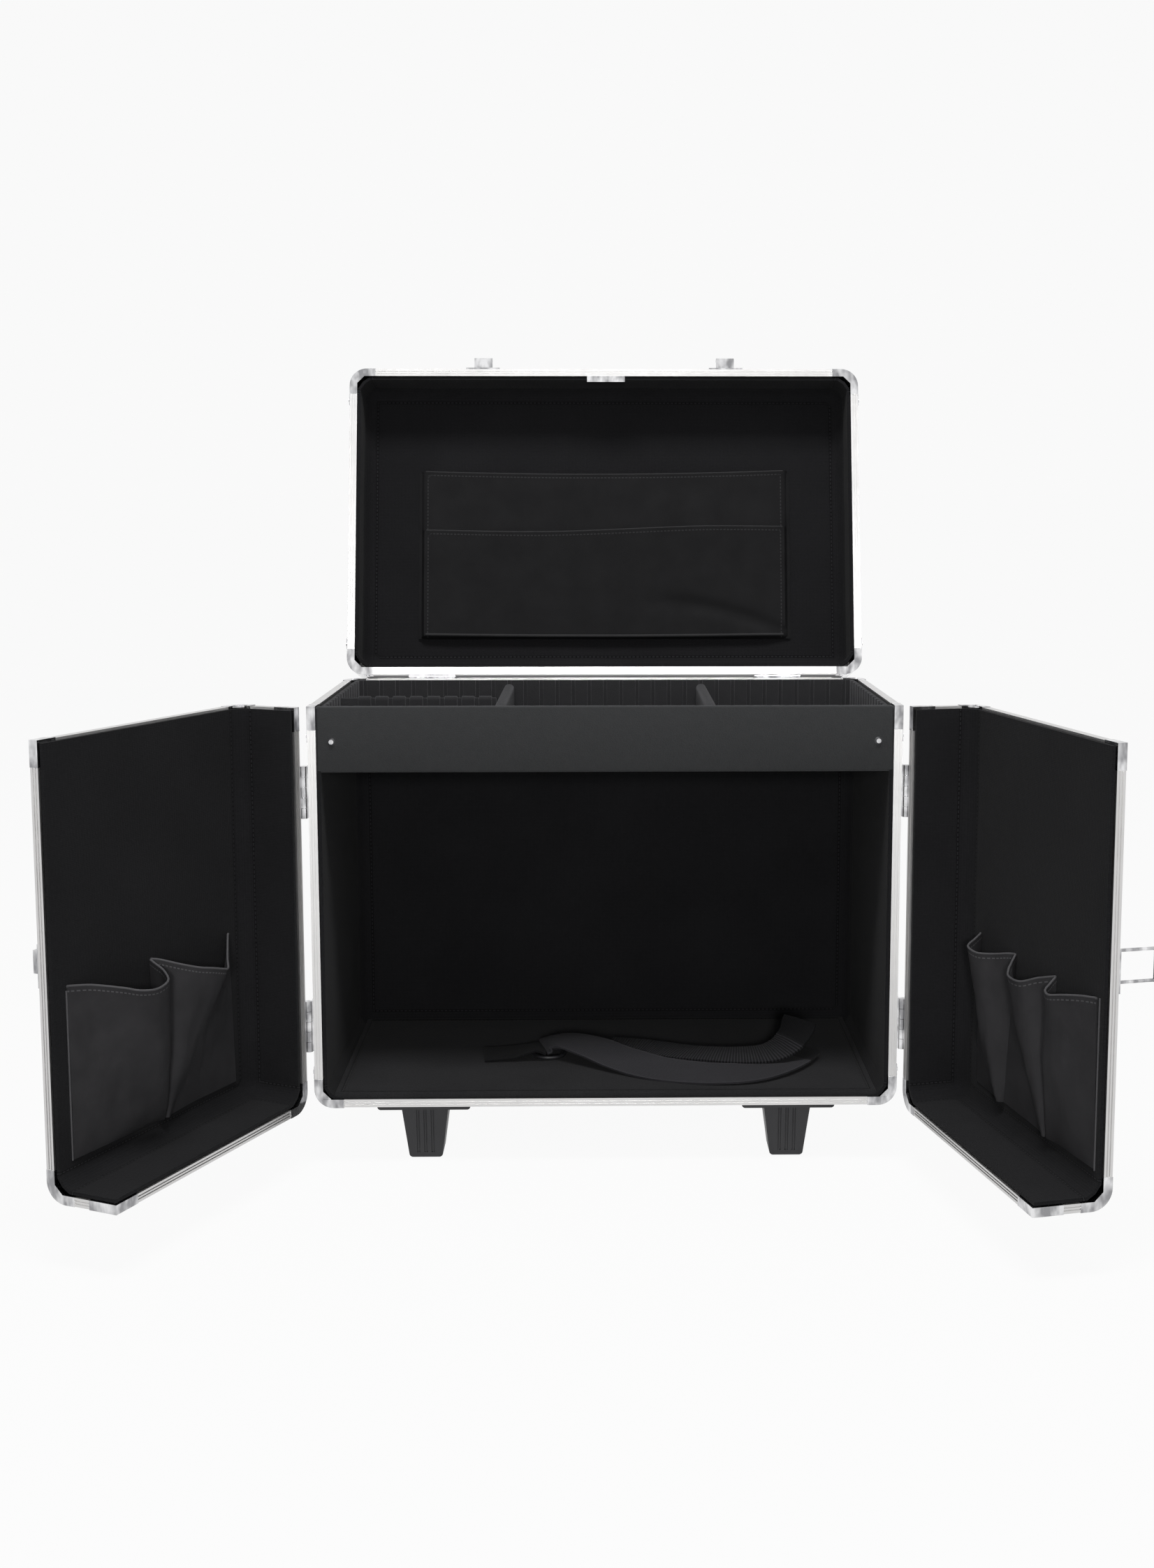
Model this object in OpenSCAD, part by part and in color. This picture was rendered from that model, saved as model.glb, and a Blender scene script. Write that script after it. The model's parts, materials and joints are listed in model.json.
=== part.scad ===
/* Makeup train case, open: a box body on four feet with a divided tray at the
   top, two L-shaped doors hinged on its front edges, and a box lid hinged on
   its back edge. Millimetres, +Z up, X across, Y from the front to the back.
   The floor is Z = 0 and the front rim of the body is the plane Y = 0.
   Everything is drawn as it stands with the lid and both doors open. */

/* [Case] */
// Width of the case across both sides
case_w = 430; // [410:5:450]
// Depth of the body from its front rim to its back face
body_d = 205; // [200:1:215]
// Depth that the doors add in front of the body
door_d = 55; // [52:1:65]
// Height of the body and the doors
case_h = 298; // [290:2:320]
// Height of the lid
lid_h = 48; // [46:1:60]
// Height of the feet under the body
foot_h = 45; // [38:0.5:48]

/* [Frame] */
// Thickness of the aluminium rails, which is the wall thickness
rail_w = 6; // [6:0.5:7]
// Depth of the rails along an open rim
rim_d = 10; // [10:0.5:11]
// Outside radius of the closed edges
edge_r = 14; // [12:0.5:15]
// Length of each arm of a cap on a square corner
cap_l = 17; // [15:0.5:18]
// Length of each arm of a cap on a rounded corner
round_cap_l = 21.3; // [20:0.1:22]

/* [Inside] */
// Thickness of the cloth lining on the walls
lining_t = 3; // [2:0.5:3.5]
// Thickness of the padded floor
floor_pad_t = 4; // [3:0.5:5]
// Height of the tray at the top of the body
tray_h = 48; // [44:1:52]
// Spacing of the divider slots
slot_pitch = 13.2; // [12:0.1:15]

/* [Opening angles] */
// How far the left door stands open
left_open = 114.3; // [0:0.1:115]
// How far the right door stands open
right_open = 102.6; // [0:0.2:115]
// How far the lid stands open
lid_open = 102; // [0:0.2:103]

/* [Hidden] */
$fa = 6;
$fs = 0.5;
seam = 0.3;                 // half the gap between two closed edges
panel_inset = 0.5;          // outer face of a panel behind the rail faces
cap_proud = 0.4;            // caps stand this far over the rails
chamfer = 6;                // inner corner of a cap
groove_w = 0.9;
groove_deep = 0.7;
groove_at = [1.8, 3.7];     // from the outer edge of a rim
lining_edge = 1.6;          // edge of a lining behind the rim
tongue_w = 7;
tongue_l = 9;
tongue_t = 0.8;
rivet_r = 1.7;
rivet_t = 0.7;

half_w = case_w / 2;
in_w = half_w - rail_w;             // inner face of the walls
z0 = foot_h;                        // underside of the body
z1 = foot_h + case_h;               // top rim of the body
in_floor = z0 + rail_w;
in_back = body_d - rail_w;
door_back = -2 * seam;              // rear rim of a closed door
door_front = -door_d;
lid_z0 = z1 + 2 * seam;
lid_z1 = lid_z0 + lid_h;
lined_w = in_w - lining_t;
lined_back = in_back - lining_t;
lined_floor = in_floor + floor_pad_t;

// hinges
leaf_h = 38;
leaf_t = 1.2;
knuckle_r = 2.7;
pin_r = 1.4;
pin_fit = 0.05;
knuckle_gap = 0.3;
door_axis_out = 3.4;                // hinge axis outside the side face
door_axis = [half_w + door_axis_out, -seam];
lid_axis_out = 3.0;
lid_axis = [body_d + lid_axis_out, z1 + seam];
door_hinge_inset = 62;              // middle of a leaf from the end of its edge
lid_hinge_inset = 71;
door_hinge_z = [z0 + door_hinge_inset, z1 - door_hinge_inset];
lid_hinge_x = [-half_w + lid_hinge_inset, half_w - lid_hinge_inset];

// tray and dividers
tray_z = z1 - tray_h;
tray_front_t = 6;
tray_floor_t = 4;
slot_w = 3;
slot_deep = 2;
liner_t = 3.4;
divider_t = 2.4;                    // core board, which fits the slots
divider_gap = 0.3;
divider_drop = 1.6;                 // top of the long divider below the rim
cross_drop = 3.4;                   // top of a cross divider below the rim
core_drop = 1.4;                    // top of a core below its padding
long_divider_y = 86;
liner_inset = 3.3;                  // end of a slotted liner from the wall
slot_margin = 6;                    // end of a liner from its last slot
liner_half = in_w - liner_inset;
slots = floor((liner_half - slot_margin) / slot_pitch);
cross_divider_slot = floor((slots + 1) * 0.4);
cross_divider_x = [-cross_divider_slot * slot_pitch, cross_divider_slot * slot_pitch];
cross_pad_r = 4.2;                  // half thickness of a padded cross divider
long_pad_r = 3.2;                   // and of the pads on the long divider
pad_break = 3.5;                    // gap between two pads
pad_clear = 1;                      // end of the padding from a liner
liner_drop = 0.4;                   // top of a liner below the rim

// draw latch, in its own frame: y points to the keeper, z outwards
latch_half = 14.25;
latch_l = 34;
plate_t = 1.5;
latch_pin = [-12, 4.5];             // y and z of the pin
latch_pin_r = 1.5;
bail_r = 1.1;
bail_half = 10.35;                  // from the middle to each leg
bail_reach = 27.6;                  // from the pin to the cross bar
bail_eye_r = 2.6;
cheek_in = 7.3;
cheek_t = 1.5;
lever_half = 6.5;
lever_l = 18;
grip_r = 7;
keeper_l = 11;
hook_half = 7.65;
hook_y = 10.5;
hook_t = 1.5;
hook_lip = 5;
hook_h = 12;
latch_inset = 112;
latch_rise = 154;
latch_x = half_w - latch_inset;     // top latches, from the middle
latch_z = z0 + latch_rise;          // latch between the doors
latch_edge = 1;                     // base plate behind the rim edge
stud_r = 1.5;
stud_h = 0.6;

// feet
foot_inset = 79.5;                  // middle of a foot from the side
foot_setback = 5;
foot_x = half_w - foot_inset;
flange = [69, 50, 4];
flange_r = 2.5;                     // rounding of the lower edge at its ends
leg_top = 35;
leg_bottom = 24.5;
leg_r = 3;                          // rounding of its lower corners
leg_fillet = 2.5;                   // and where it meets the flange
leg_overlap = 0.06;                 // a rounding crosses the faces that it joins
leg_h = foot_h - flange[2];
foot_lean = atan((leg_top - leg_bottom) / 2 / leg_h);
foot_y = [foot_setback + flange[1] / 2, body_d - foot_setback - flange[1] / 2];
foot_screw_x = 28;
foot_screw_h = 1.2;
foot_groove_pitch = 5.4;
foot_groove_half = 0.8;             // half the spacing within a pair of grooves
foot_groove_w = 0.8;
foot_groove_deep = 0.7;
foot_groove_low = 4;                // end of a groove above the sole

// carry handle on the lid, drawn hanging down behind the open lid
handle_half = 65;                   // to the inner face of each bracket
handle_reach = 30;
handle_r = 4.5;
handle_axis_z = lid_z1 - panel_inset + 8;
handle_pin_r = 2.4;
handle_eye_r = 5;
handle_eye_w = 8;
bracket_t = 4;
bracket_d = 24;
handle_y = (body_d - door_d) / 2;   // middle of the lid, front to back
handle_hang = lid_open - 90;

// soft parts
strap_t = 2.4;
floor_inset = 5;                    // edge of the padded floor from the side lining
pocket_thin = 5;                    // pocket depth at its foot
pocket_deep = 26;                   // and at its mouth
door_pocket_inset = 12;             // from the side lining
door_pocket_margin = 12;            // from the rail at the middle
door_pocket_rise = 24;
door_pocket_h = 111;
door_pocket_x = [-lined_w + door_pocket_inset, -seam - rim_d - door_pocket_margin];
door_pocket_z = [z0 + door_pocket_rise, z0 + door_pocket_rise + door_pocket_h];
lid_pocket_inset = 49;              // from the side lining
lid_pocket_rise = 32;               // foot of the pockets from the hinge side
lid_pocket_h = 145;
lid_front_pocket_h = 92;
lid_pocket_t = 5;
lid_pocket_half = lined_w - lid_pocket_inset;
lid_pocket_y = [body_d - lid_pocket_rise - lid_pocket_h, body_d - lid_pocket_rise];
lid_front_pocket_y = [body_d - lid_pocket_rise - lid_front_pocket_h,
    body_d - lid_pocket_rise];
strap_w = 34;
strap_tab_l = 36;
strap_bow = [[-22, 91], [-6, 80], [16, 58], [46, 39], [80, 31], [112, 35], [136, 55], [148, 88], [150, 118]];
strap_return = [[24, 103], [52, 97], [80, 88], [106, 89], [128, 106], [142, 134], [149, 180]];
strap_ring_at = [-45, 92];
strap_ring_r = 12;
strap_wire_r = 1.6;
tray_face = 1.5;                    // tray front behind the rim plane
tray_screw_inset = 11;
tray_screw_x = in_w - tray_screw_inset;
tray_screw_drop = 25.5;
tray_screw_r = 2.9;
tray_screw_h = 1.6;
tab_half = 16;
tab_x = 1.3;
tab_d = 5;
tab_t = 1.4;

// ---------------------------------------------------------------- helpers

// A box from its lowest to its highest corner.
module box(lo, hi) {
    translate(lo) cube(hi - lo);
}

// A cylinder along X, from x0 to x1.
module rod_x(r, x0, x1) {
    translate([x0, 0, 0]) rotate([0, 90, 0]) cylinder(r = r, h = x1 - x0);
}

// What rounding takes off one corner of a rectangle; sx and sy point inwards.
module corner_waste(x, y, sx, sy, r) {
    translate([x, y]) turn_to(sx, sy) difference() {
        translate([-2, -2]) square(r + 2);
        translate([r, r]) circle(r);
        translate([r, -3]) square([r, r + 3]);
        translate([-3, r]) square([r + 3, r]);
    }
}

// Turns a corner drawn for +X and +Y to another quarter.
module turn_to(sx, sy) {
    mirror([sx < 0 ? 1 : 0, 0]) mirror([0, sy < 0 ? 1 : 0]) children();
}

// Mirror pair across the middle plane.
module both_sides() {
    children();
    mirror([1, 0, 0]) children();
}

module left_door_pose() {
    translate([-door_axis[0], door_axis[1], 0]) rotate([0, 0, -left_open])
        translate([door_axis[0], -door_axis[1], 0]) children();
}

// The right door is drawn as a left one and mirrored.
module right_door_pose() {
    translate([door_axis[0], door_axis[1], 0]) rotate([0, 0, right_open])
        translate([-door_axis[0], -door_axis[1], 0]) mirror([1, 0, 0]) children();
}

module lid_pose() {
    translate([0, lid_axis[0], lid_axis[1]]) rotate([-lid_open, 0, 0])
        translate([0, -lid_axis[0], -lid_axis[1]]) children();
}

// A chrome tongue with its rivet, lying on the plane x = 0 and pointing to -Z.
module tongue() {
    box([-tongue_t, -tongue_w / 2, -tongue_l], [0, tongue_w / 2, 0]);
}

module tongue_rivet() {
    translate([-tongue_t - rivet_t, 0, -tongue_l / 2]) rod_x(rivet_r, 0, rivet_t);
}

// ---------------------------------------------------------------- hinges

// One hinge leaf with its share of the knuckles; the pin axis is Z, the leaf
// lies on the plane x = 0 and reaches to +Y. Body leaves carry the pin.
module hinge_leaf(axis_out, with_pin, leaf_d) {
    step = leaf_h / 5;
    first = with_pin ? 0 : 1;
    difference() {
        union() {
            box([-leaf_t, seam, 0], [0, leaf_d, leaf_h]);
            for (i = [first : 2 : 4])
                translate([-axis_out, 0, i * step + (i == 0 ? 0 : knuckle_gap / 2)])
                    cylinder(r = knuckle_r, h = step - (i == 0 || i == 4 ? 0.5 : 1) * knuckle_gap);
            for (i = [first : 2 : 4])
                box([-axis_out + pin_r + 0.6, 0, i * step + knuckle_gap / 2],
                    [-leaf_t / 2, 2 * seam, (i + 1) * step - knuckle_gap / 2]);
        }
        for (i = [1 - first : 2 : 4])
            translate([-axis_out, 0, i * step - knuckle_gap / 2])
                cylinder(r = knuckle_r + knuckle_gap, h = step + knuckle_gap);
        if (!with_pin)
            translate([-axis_out, 0, -1]) cylinder(r = pin_r + pin_fit, h = leaf_h + 2);
    }
    if (with_pin)
        translate([-axis_out, 0, 0]) cylinder(r = pin_r, h = leaf_h);
}

// Both leaves of each door hinge are drawn on the left side.
module door_leaf(z, of_body) {
    translate([-half_w, -seam, z - leaf_h / 2])
        mirror([0, of_body ? 0 : 1, 0]) hinge_leaf(door_axis_out, of_body, rim_d);
}

module lid_leaf(x, of_body) {
    translate([x - leaf_h / 2, body_d, lid_axis[1]])
        rotate([0, 90, 0]) rotate([0, 0, -90])
            mirror([0, of_body ? 0 : 1, 0]) hinge_leaf(lid_axis_out, of_body, rim_d);
}

// ---------------------------------------------------------------- frames

// A rectangle with rounded corners; the list picks which: [low x low y,
// high x low y, high x high y, low x high y].
module soft_rect(x0, x1, y0, y1, r, soft) {
    difference() {
        translate([x0, y0]) square([x1 - x0, y1 - y0]);
        if (soft[0]) corner_waste(x0, y0, 1, 1, r);
        if (soft[1]) corner_waste(x1, y0, -1, 1, r);
        if (soft[2]) corner_waste(x1, y1, -1, -1, r);
        if (soft[3]) corner_waste(x0, y1, 1, -1, r);
    }
}

// A prism on the XZ plane, from y0 to y1.
module prism_xz(y0, y1) {
    translate([0, y1, 0]) rotate([90, 0, 0]) linear_extrude(height = y1 - y0) children();
}

// A prism on the YZ plane, from x0 to x1.
module prism_yz(x0, x1) {
    translate([x0, 0, 0]) rotate([90, 0, 90]) linear_extrude(height = x1 - x0) children();
}

// A 45 degree filler in a corner of a rim, lying on the XZ plane.
module chamfer_xz(x, z, sx, sz, y0, y1) {
    prism_xz(y0, y1)
        translate([x, z]) turn_to(sx, sz) polygon([[0, 0], [chamfer, 0], [0, chamfer]]);
}

module chamfer_xy(x, y, sx, sy, za, zb) {
    translate([0, 0, za]) linear_extrude(height = zb - za)
        translate([x, y]) turn_to(sx, sy) polygon([[0, 0], [chamfer, 0], [0, chamfer]]);
}

module chamfer_yz(y, z, sy, sz, xa, xb) {
    prism_yz(xa, xb)
        translate([y, z]) turn_to(sy, sz) polygon([[0, 0], [chamfer, 0], [0, chamfer]]);
}

// Every edge of the body in one frame, grown outwards by p.
module body_frame(p) {
    difference() {
        intersection() {
            box([-half_w - p, -p, z0 - p], [half_w + p, body_d + p, z1 + p]);
            prism_xz(-1, body_d + 1)
                soft_rect(-half_w - p, half_w + p, z0 - p, z1 + p, edge_r + p, [1, 1, 0, 0]);
            prism_yz(-half_w - 1, half_w + 1)
                soft_rect(-p, body_d + p, z0 - p, z1 + p, edge_r + p, [0, 1, 0, 0]);
            translate([0, 0, z0 - 1]) linear_extrude(height = case_h + 2)
                soft_rect(-half_w - p, half_w + p, -p, body_d + p, edge_r + p, [0, 0, 1, 1]);
        }
        box([-in_w, -1 - p, in_floor], [in_w, in_back, z1 + p + 1]);
        box([-half_w - 1, rim_d, z0 + edge_r], [half_w + 1, body_d - edge_r, z1 - rim_d]);
        box([-half_w + edge_r, in_back - 1, z0 + edge_r],
            [half_w - edge_r, body_d + 1, z1 - rim_d]);
        box([-half_w + edge_r, rim_d, z0 - 1], [half_w - edge_r, body_d - edge_r, in_floor + 1]);
    }
    both_sides() {
        chamfer_xz(-in_w, in_floor, 1, 1, 0, rim_d);
        chamfer_xy(-in_w, in_back, 1, -1, z1 - rim_d, z1);
    }
}

// The corners that the caps take from the frame.
module body_corners() {
    both_sides()
        for (y = [-1, body_d - cap_l])
            box([-half_w - 1, y, z1 - cap_l], [-half_w + cap_l, y + cap_l + 1, z1 + 1]);
    both_sides()
        for (y = [-1, body_d - round_cap_l])
            box([-half_w - 1, y, z0 - 1],
                [-half_w + round_cap_l, y + round_cap_l + 1, z0 + round_cap_l]);
}

// Two grooves round a rim; the outline is given grown inwards by d.
module front_grooves() {
    for (d = groove_at)
        prism_xz(-1, groove_deep) difference() {
            translate([-half_w + d, z0 + d]) square([case_w - 2 * d, case_h]);
            translate([-half_w + d + groove_w, z0 + d + groove_w])
                square([case_w - 2 * d - 2 * groove_w, case_h]);
        }
}

// Tongues of the body: down from the top corners and up from the bottom ones.
module body_tongues() {
    both_sides() {
        translate([-half_w, rim_d / 2, z1 - cap_l]) children();
        translate([-half_w, cap_l, z1 - rim_d / 2]) rotate([90, 0, 0]) children();
        translate([-half_w, rim_d / 2, z0 + round_cap_l]) rotate([180, 0, 0]) children();
        translate([-half_w + cap_l, body_d, z1 - rim_d / 2])
            rotate([0, 0, -90]) rotate([-90, 0, 0]) children();
    }
}

// Every edge of the left door, closed.
module door_frame(p) {
    difference() {
        intersection() {
            box([-half_w - p, door_front - p, z0 - p], [-seam, door_back, z1 + p]);
            prism_xz(door_front - 1, 1)
                soft_rect(-half_w - p, 0, z0 - p, z1 + p, edge_r + p, [1, 0, 0, 0]);
            prism_yz(-half_w - 1, 1)
                soft_rect(door_front - p, 0, z0 - p, z1 + p, edge_r + p, [1, 0, 0, 0]);
            translate([0, 0, z0 - 1]) linear_extrude(height = case_h + 2)
                soft_rect(-half_w - p, 0, door_front - p, 1, edge_r + p, [1, 0, 0, 0]);
        }
        box([-in_w, door_front + rail_w, in_floor], [1, 1, z1 + p + 1]);
        box([-half_w - 1, door_front + edge_r, z0 + edge_r],
            [-in_w + 1, door_back - rim_d, z1 - rim_d]);
        box([-half_w + edge_r, door_front - 1, z0 + edge_r],
            [-seam - rim_d, door_front + rail_w + 1, z1 - rim_d]);
        box([-half_w + edge_r, door_front + edge_r, z0 - 1],
            [-seam - rim_d, door_back - rim_d, in_floor + 1]);
    }
    chamfer_xz(-in_w, in_floor, 1, 1, door_back - rim_d, door_back);
    chamfer_yz(door_front + rail_w, in_floor, 1, 1, -seam - rim_d, -seam);
    chamfer_xy(-in_w, door_front + rail_w, 1, 1, z1 - rim_d, z1);
}

module door_corners() {
    for (x = [-half_w - 1, -seam - cap_l])
        box([x, door_front - 1, z1 - cap_l], [x + cap_l + 1, door_front + cap_l, z1 + 1]);
    for (x = [-half_w - 1, -seam - round_cap_l])
        box([x, door_front - 1, z0 - 1],
            [x + round_cap_l + 1, door_front + round_cap_l, z0 + round_cap_l]);
    for (x = [-half_w - 1, -seam - round_cap_l])
        box([x, door_back - round_cap_l, z0 - 1], [x + round_cap_l + 1, 1, z0 + round_cap_l]);
    box([-half_w - 1, door_back - cap_l, z1 - cap_l], [-half_w + cap_l, 1, z1 + 1]);
}

module door_grooves() {
    for (d = groove_at) {
        prism_xz(door_back - groove_deep, 1) difference() {
            translate([-half_w + d, z0 + d]) square([case_w, case_h]);
            translate([-half_w + d + groove_w, z0 + d + groove_w]) square([case_w, case_h]);
        }
        prism_yz(-seam - groove_deep, 1) difference() {
            translate([door_front + d, z0 + d]) square([case_w, case_h]);
            translate([door_front + d + groove_w, z0 + d + groove_w]) square([case_w, case_h]);
        }
    }
}

// Tongues of the left door on its side wall and its front.
module door_tongues() {
    translate([-half_w, door_back - rim_d / 2, z1 - cap_l]) children();
    translate([-half_w, door_back - rim_d / 2, z0 + round_cap_l]) rotate([180, 0, 0]) children();
    translate([-seam - rim_d / 2, door_front, z1 - cap_l]) rotate([0, 0, 90]) children();
    translate([-seam - rim_d / 2, door_front, z0 + round_cap_l])
        rotate([0, 0, 90]) rotate([180, 0, 0]) children();
}

// Every edge of the lid, closed.
module lid_frame(p) {
    difference() {
        intersection() {
            box([-half_w - p, door_front - p, lid_z0], [half_w + p, body_d + p, lid_z1 + p]);
            prism_xz(door_front - 1, body_d + 1)
                soft_rect(-half_w - p, half_w + p, lid_z0 - p, lid_z1 + p,
                    edge_r + p, [0, 0, 1, 1]);
            prism_yz(-half_w - 1, half_w + 1)
                soft_rect(door_front - p, body_d + p, lid_z0 - p, lid_z1 + p,
                    edge_r + p, [0, 0, 1, 1]);
            translate([0, 0, lid_z0 - 1]) linear_extrude(height = lid_h + 3)
                soft_rect(-half_w - p, half_w + p, door_front - p, body_d + p,
                    edge_r + p, [1, 1, 1, 1]);
        }
        box([-in_w, door_front + rail_w, lid_z0 - 1], [in_w, in_back, lid_z1 - rail_w]);
        box([-half_w - 1, door_front + edge_r, lid_z0 + rim_d],
            [half_w + 1, body_d - edge_r, lid_z1 - edge_r]);
        box([-half_w + edge_r, door_front - 1, lid_z0 + rim_d],
            [half_w - edge_r, body_d + 1, lid_z1 - edge_r]);
        box([-half_w + edge_r, door_front + edge_r, lid_z1 - rail_w - 1],
            [half_w - edge_r, body_d - edge_r, lid_z1 + 1]);
    }
    both_sides() {
        chamfer_xy(-in_w, door_front + rail_w, 1, 1, lid_z0, lid_z0 + rim_d);
        chamfer_xy(-in_w, in_back, 1, -1, lid_z0, lid_z0 + rim_d);
    }
}

module lid_corners() {
    both_sides()
        for (y = [door_front - 1, body_d - round_cap_l])
            box([-half_w - 1, y, lid_z0 - 1],
                [-half_w + round_cap_l, y + round_cap_l + 1, lid_z1 + 1]);
}

module lid_grooves() {
    for (d = groove_at)
        translate([0, 0, lid_z0 - 1]) linear_extrude(height = 1 + groove_deep) difference() {
            translate([-half_w + d, door_front + d])
                square([case_w - 2 * d, body_d + door_d - 2 * d]);
            translate([-half_w + d + groove_w, door_front + d + groove_w])
                square([case_w - 2 * (d + groove_w), body_d + door_d - 2 * (d + groove_w)]);
        }
}

// Tongues of the lid along its rim, on the sides, the front and the back.
module lid_tongues() {
    rim_z = lid_z0 + rim_d / 2;
    both_sides() {
        translate([-half_w, door_front + round_cap_l, rim_z]) rotate([90, 0, 0]) children();
        translate([-half_w, body_d - round_cap_l, rim_z]) rotate([-90, 0, 0]) children();
        translate([-half_w + round_cap_l, door_front, rim_z])
            rotate([0, 0, 90]) rotate([90, 0, 0]) children();
        translate([-half_w + round_cap_l, body_d, rim_z])
            rotate([0, 0, -90]) rotate([-90, 0, 0]) children();
    }
}

// ---------------------------------------------------------------- body

module body_panels() {
    color([0.06, 0.06, 0.07]) {
        both_sides()
            box([-half_w + panel_inset, rim_d, z0 + edge_r],
                [-in_w, body_d - edge_r, z1 - rim_d]);
        box([-half_w + edge_r, in_back, z0 + edge_r],
            [half_w - edge_r, body_d - panel_inset, z1 - rim_d]);
        box([-half_w + edge_r, rim_d, z0 + panel_inset],
            [half_w - edge_r, body_d - edge_r, in_floor]);
    }
}

module body_rails() {
    color([0.75, 0.76, 0.78]) difference() {
        body_frame(0);
        body_corners();
        front_grooves();
    }
}

module body_corner_caps() {
    color([0.85, 0.86, 0.88]) {
        intersection() {
            body_frame(cap_proud);
            body_corners();
        }
        body_tongues() tongue();
    }
}

module body_rivets() {
    color([0.9, 0.9, 0.92]) body_tongues() tongue_rivet();
}

// The caps' inner corners at the top of the back, which the linings stop at
module back_corner_waste() {
    both_sides() box([-half_w, in_back - chamfer, z1 - rim_d - seam], [-in_w + chamfer, body_d, z1]);
}

module back_lining() {
    color([0.09, 0.09, 0.1]) difference() {
        box([-lined_w, lined_back, in_floor], [lined_w, in_back, z1 - lining_edge]);
        back_corner_waste();
    }
}

module side_linings() {
    color([0.09, 0.09, 0.1]) difference() {
        both_sides() {
            box([-in_w, rim_d, in_floor], [-lined_w, in_back, z1 - lining_edge]);
            box([-in_w, lining_edge, in_floor + chamfer], [-lined_w, rim_d, tray_z - seam]);
        }
        back_corner_waste();
    }
}

module floor_lining() {
    color([0.09, 0.09, 0.1])
        box([-lined_w + floor_inset, lining_edge, in_floor],
            [lined_w - floor_inset, lined_back - seam, lined_floor]);
}

module tray_front_panel() {
    color([0.2, 0.2, 0.21])
        box([-in_w, tray_face, tray_z], [in_w, tray_face + tray_front_t, z1]);
}

module tray_floor() {
    color([0.2, 0.2, 0.21])
        box([-lined_w, tray_face + tray_front_t, tray_z],
            [lined_w, lined_back, tray_z + tray_floor_t]);
}

// Strip with upright slots, open towards +Y, at whole steps of the pitch, between x0 and x1
module slot_strip(x0, x1) {
    first = ceil((x0 + slot_margin) / slot_pitch);
    last = floor((x1 - slot_margin) / slot_pitch);
    difference() {
        box([x0, 0, tray_z + tray_floor_t], [x1, liner_t, z1 - liner_drop]);
        for (i = [first : last])
            translate([i * slot_pitch - slot_w / 2, liner_t - slot_deep, 0])
                box([0, 0, tray_z], [slot_w, slot_deep + 1, z1 + 1]);
    }
}
module tray_slot_liners() {
    inner_front = tray_face + tray_front_t;
    color([0.12, 0.12, 0.13]) {
        translate([0, inner_front, 0]) slot_strip(-liner_half, liner_half);
        translate([0, lined_back, 0]) mirror([0, 1, 0]) slot_strip(-liner_half, liner_half);
        both_sides() translate([-lined_w, long_divider_y, 0]) rotate([0, 0, -90])
            slot_strip(long_divider_y - lined_back + liner_t + seam,
                long_divider_y - inner_front - liner_t - seam);
    }
}

// a padded board along y or x: a box with a round top
module padded_y(x, y0, y1, r, top) {
    box([x - r, y0, tray_z + tray_floor_t], [x + r, y1, top - r]);
    translate([x, y0, top - r]) rotate([-90, 0, 0]) cylinder(r = r, h = y1 - y0);
}

module padded_x(x0, x1, y, r, top) {
    box([x0, y - r, tray_z + tray_floor_t], [x1, y + r, top - r]);
    translate([0, y, top - r]) rod_x(r, x0, x1);
}

// stiff core with soft pads on both sides; the gaps between the pads take cross boards
module long_divider() {
    top = z1 - divider_drop;
    left = -lined_w + liner_t - slot_deep + divider_gap;
    right = cross_divider_x[0] - cross_pad_r - divider_gap;
    pads_left = -lined_w + liner_t + pad_clear;
    pads_right = right - pad_break;
    pads = floor((pads_right - pads_left + pad_break) / slot_pitch);
    pad_l = slot_pitch - pad_break;
    color([0.12, 0.12, 0.13]) {
        box([left, long_divider_y - divider_t / 2, tray_z + tray_floor_t],
            [right, long_divider_y + divider_t / 2, top - core_drop]);
        for (i = [0 : pads - 1])
            padded_x(pads_right - i * slot_pitch - pad_l, pads_right - i * slot_pitch,
                long_divider_y, long_pad_r, top);
    }
}

module cross_dividers() {
    top = z1 - cross_drop;
    slot_floor = tray_face + tray_front_t + liner_t - slot_deep;
    pad_front = tray_face + tray_front_t + liner_t + pad_clear;
    pad_back = lined_back - liner_t - pad_clear;
    color([0.12, 0.12, 0.13])
        for (x = cross_divider_x) {
            box([x - divider_t / 2, slot_floor + divider_gap, tray_z + tray_floor_t],
                [x + divider_t / 2, lined_back - liner_t + slot_deep - divider_gap,
                    top - core_drop]);
            padded_y(x, pad_front, pad_back, cross_pad_r, top);
        }
}

module tray_screws() {
    color([0.9, 0.9, 0.92]) both_sides()
        translate([-tray_screw_x, tray_face, z1 - tray_screw_drop])
            rotate([90, 0, 0])
                cylinder(r1 = tray_screw_r, r2 = tray_screw_r * 0.6, h = tray_screw_h);
}

// Where a round corner of radius r meets the two edges of a foot's leg
function foot_run(r) = r / tan(45 + foot_lean / 2);

module leg_outline() {
    polygon([[-leg_bottom / 2, 0], [leg_bottom / 2, 0], [leg_top / 2, leg_h],
        [-leg_top / 2, leg_h]]);
}

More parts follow.
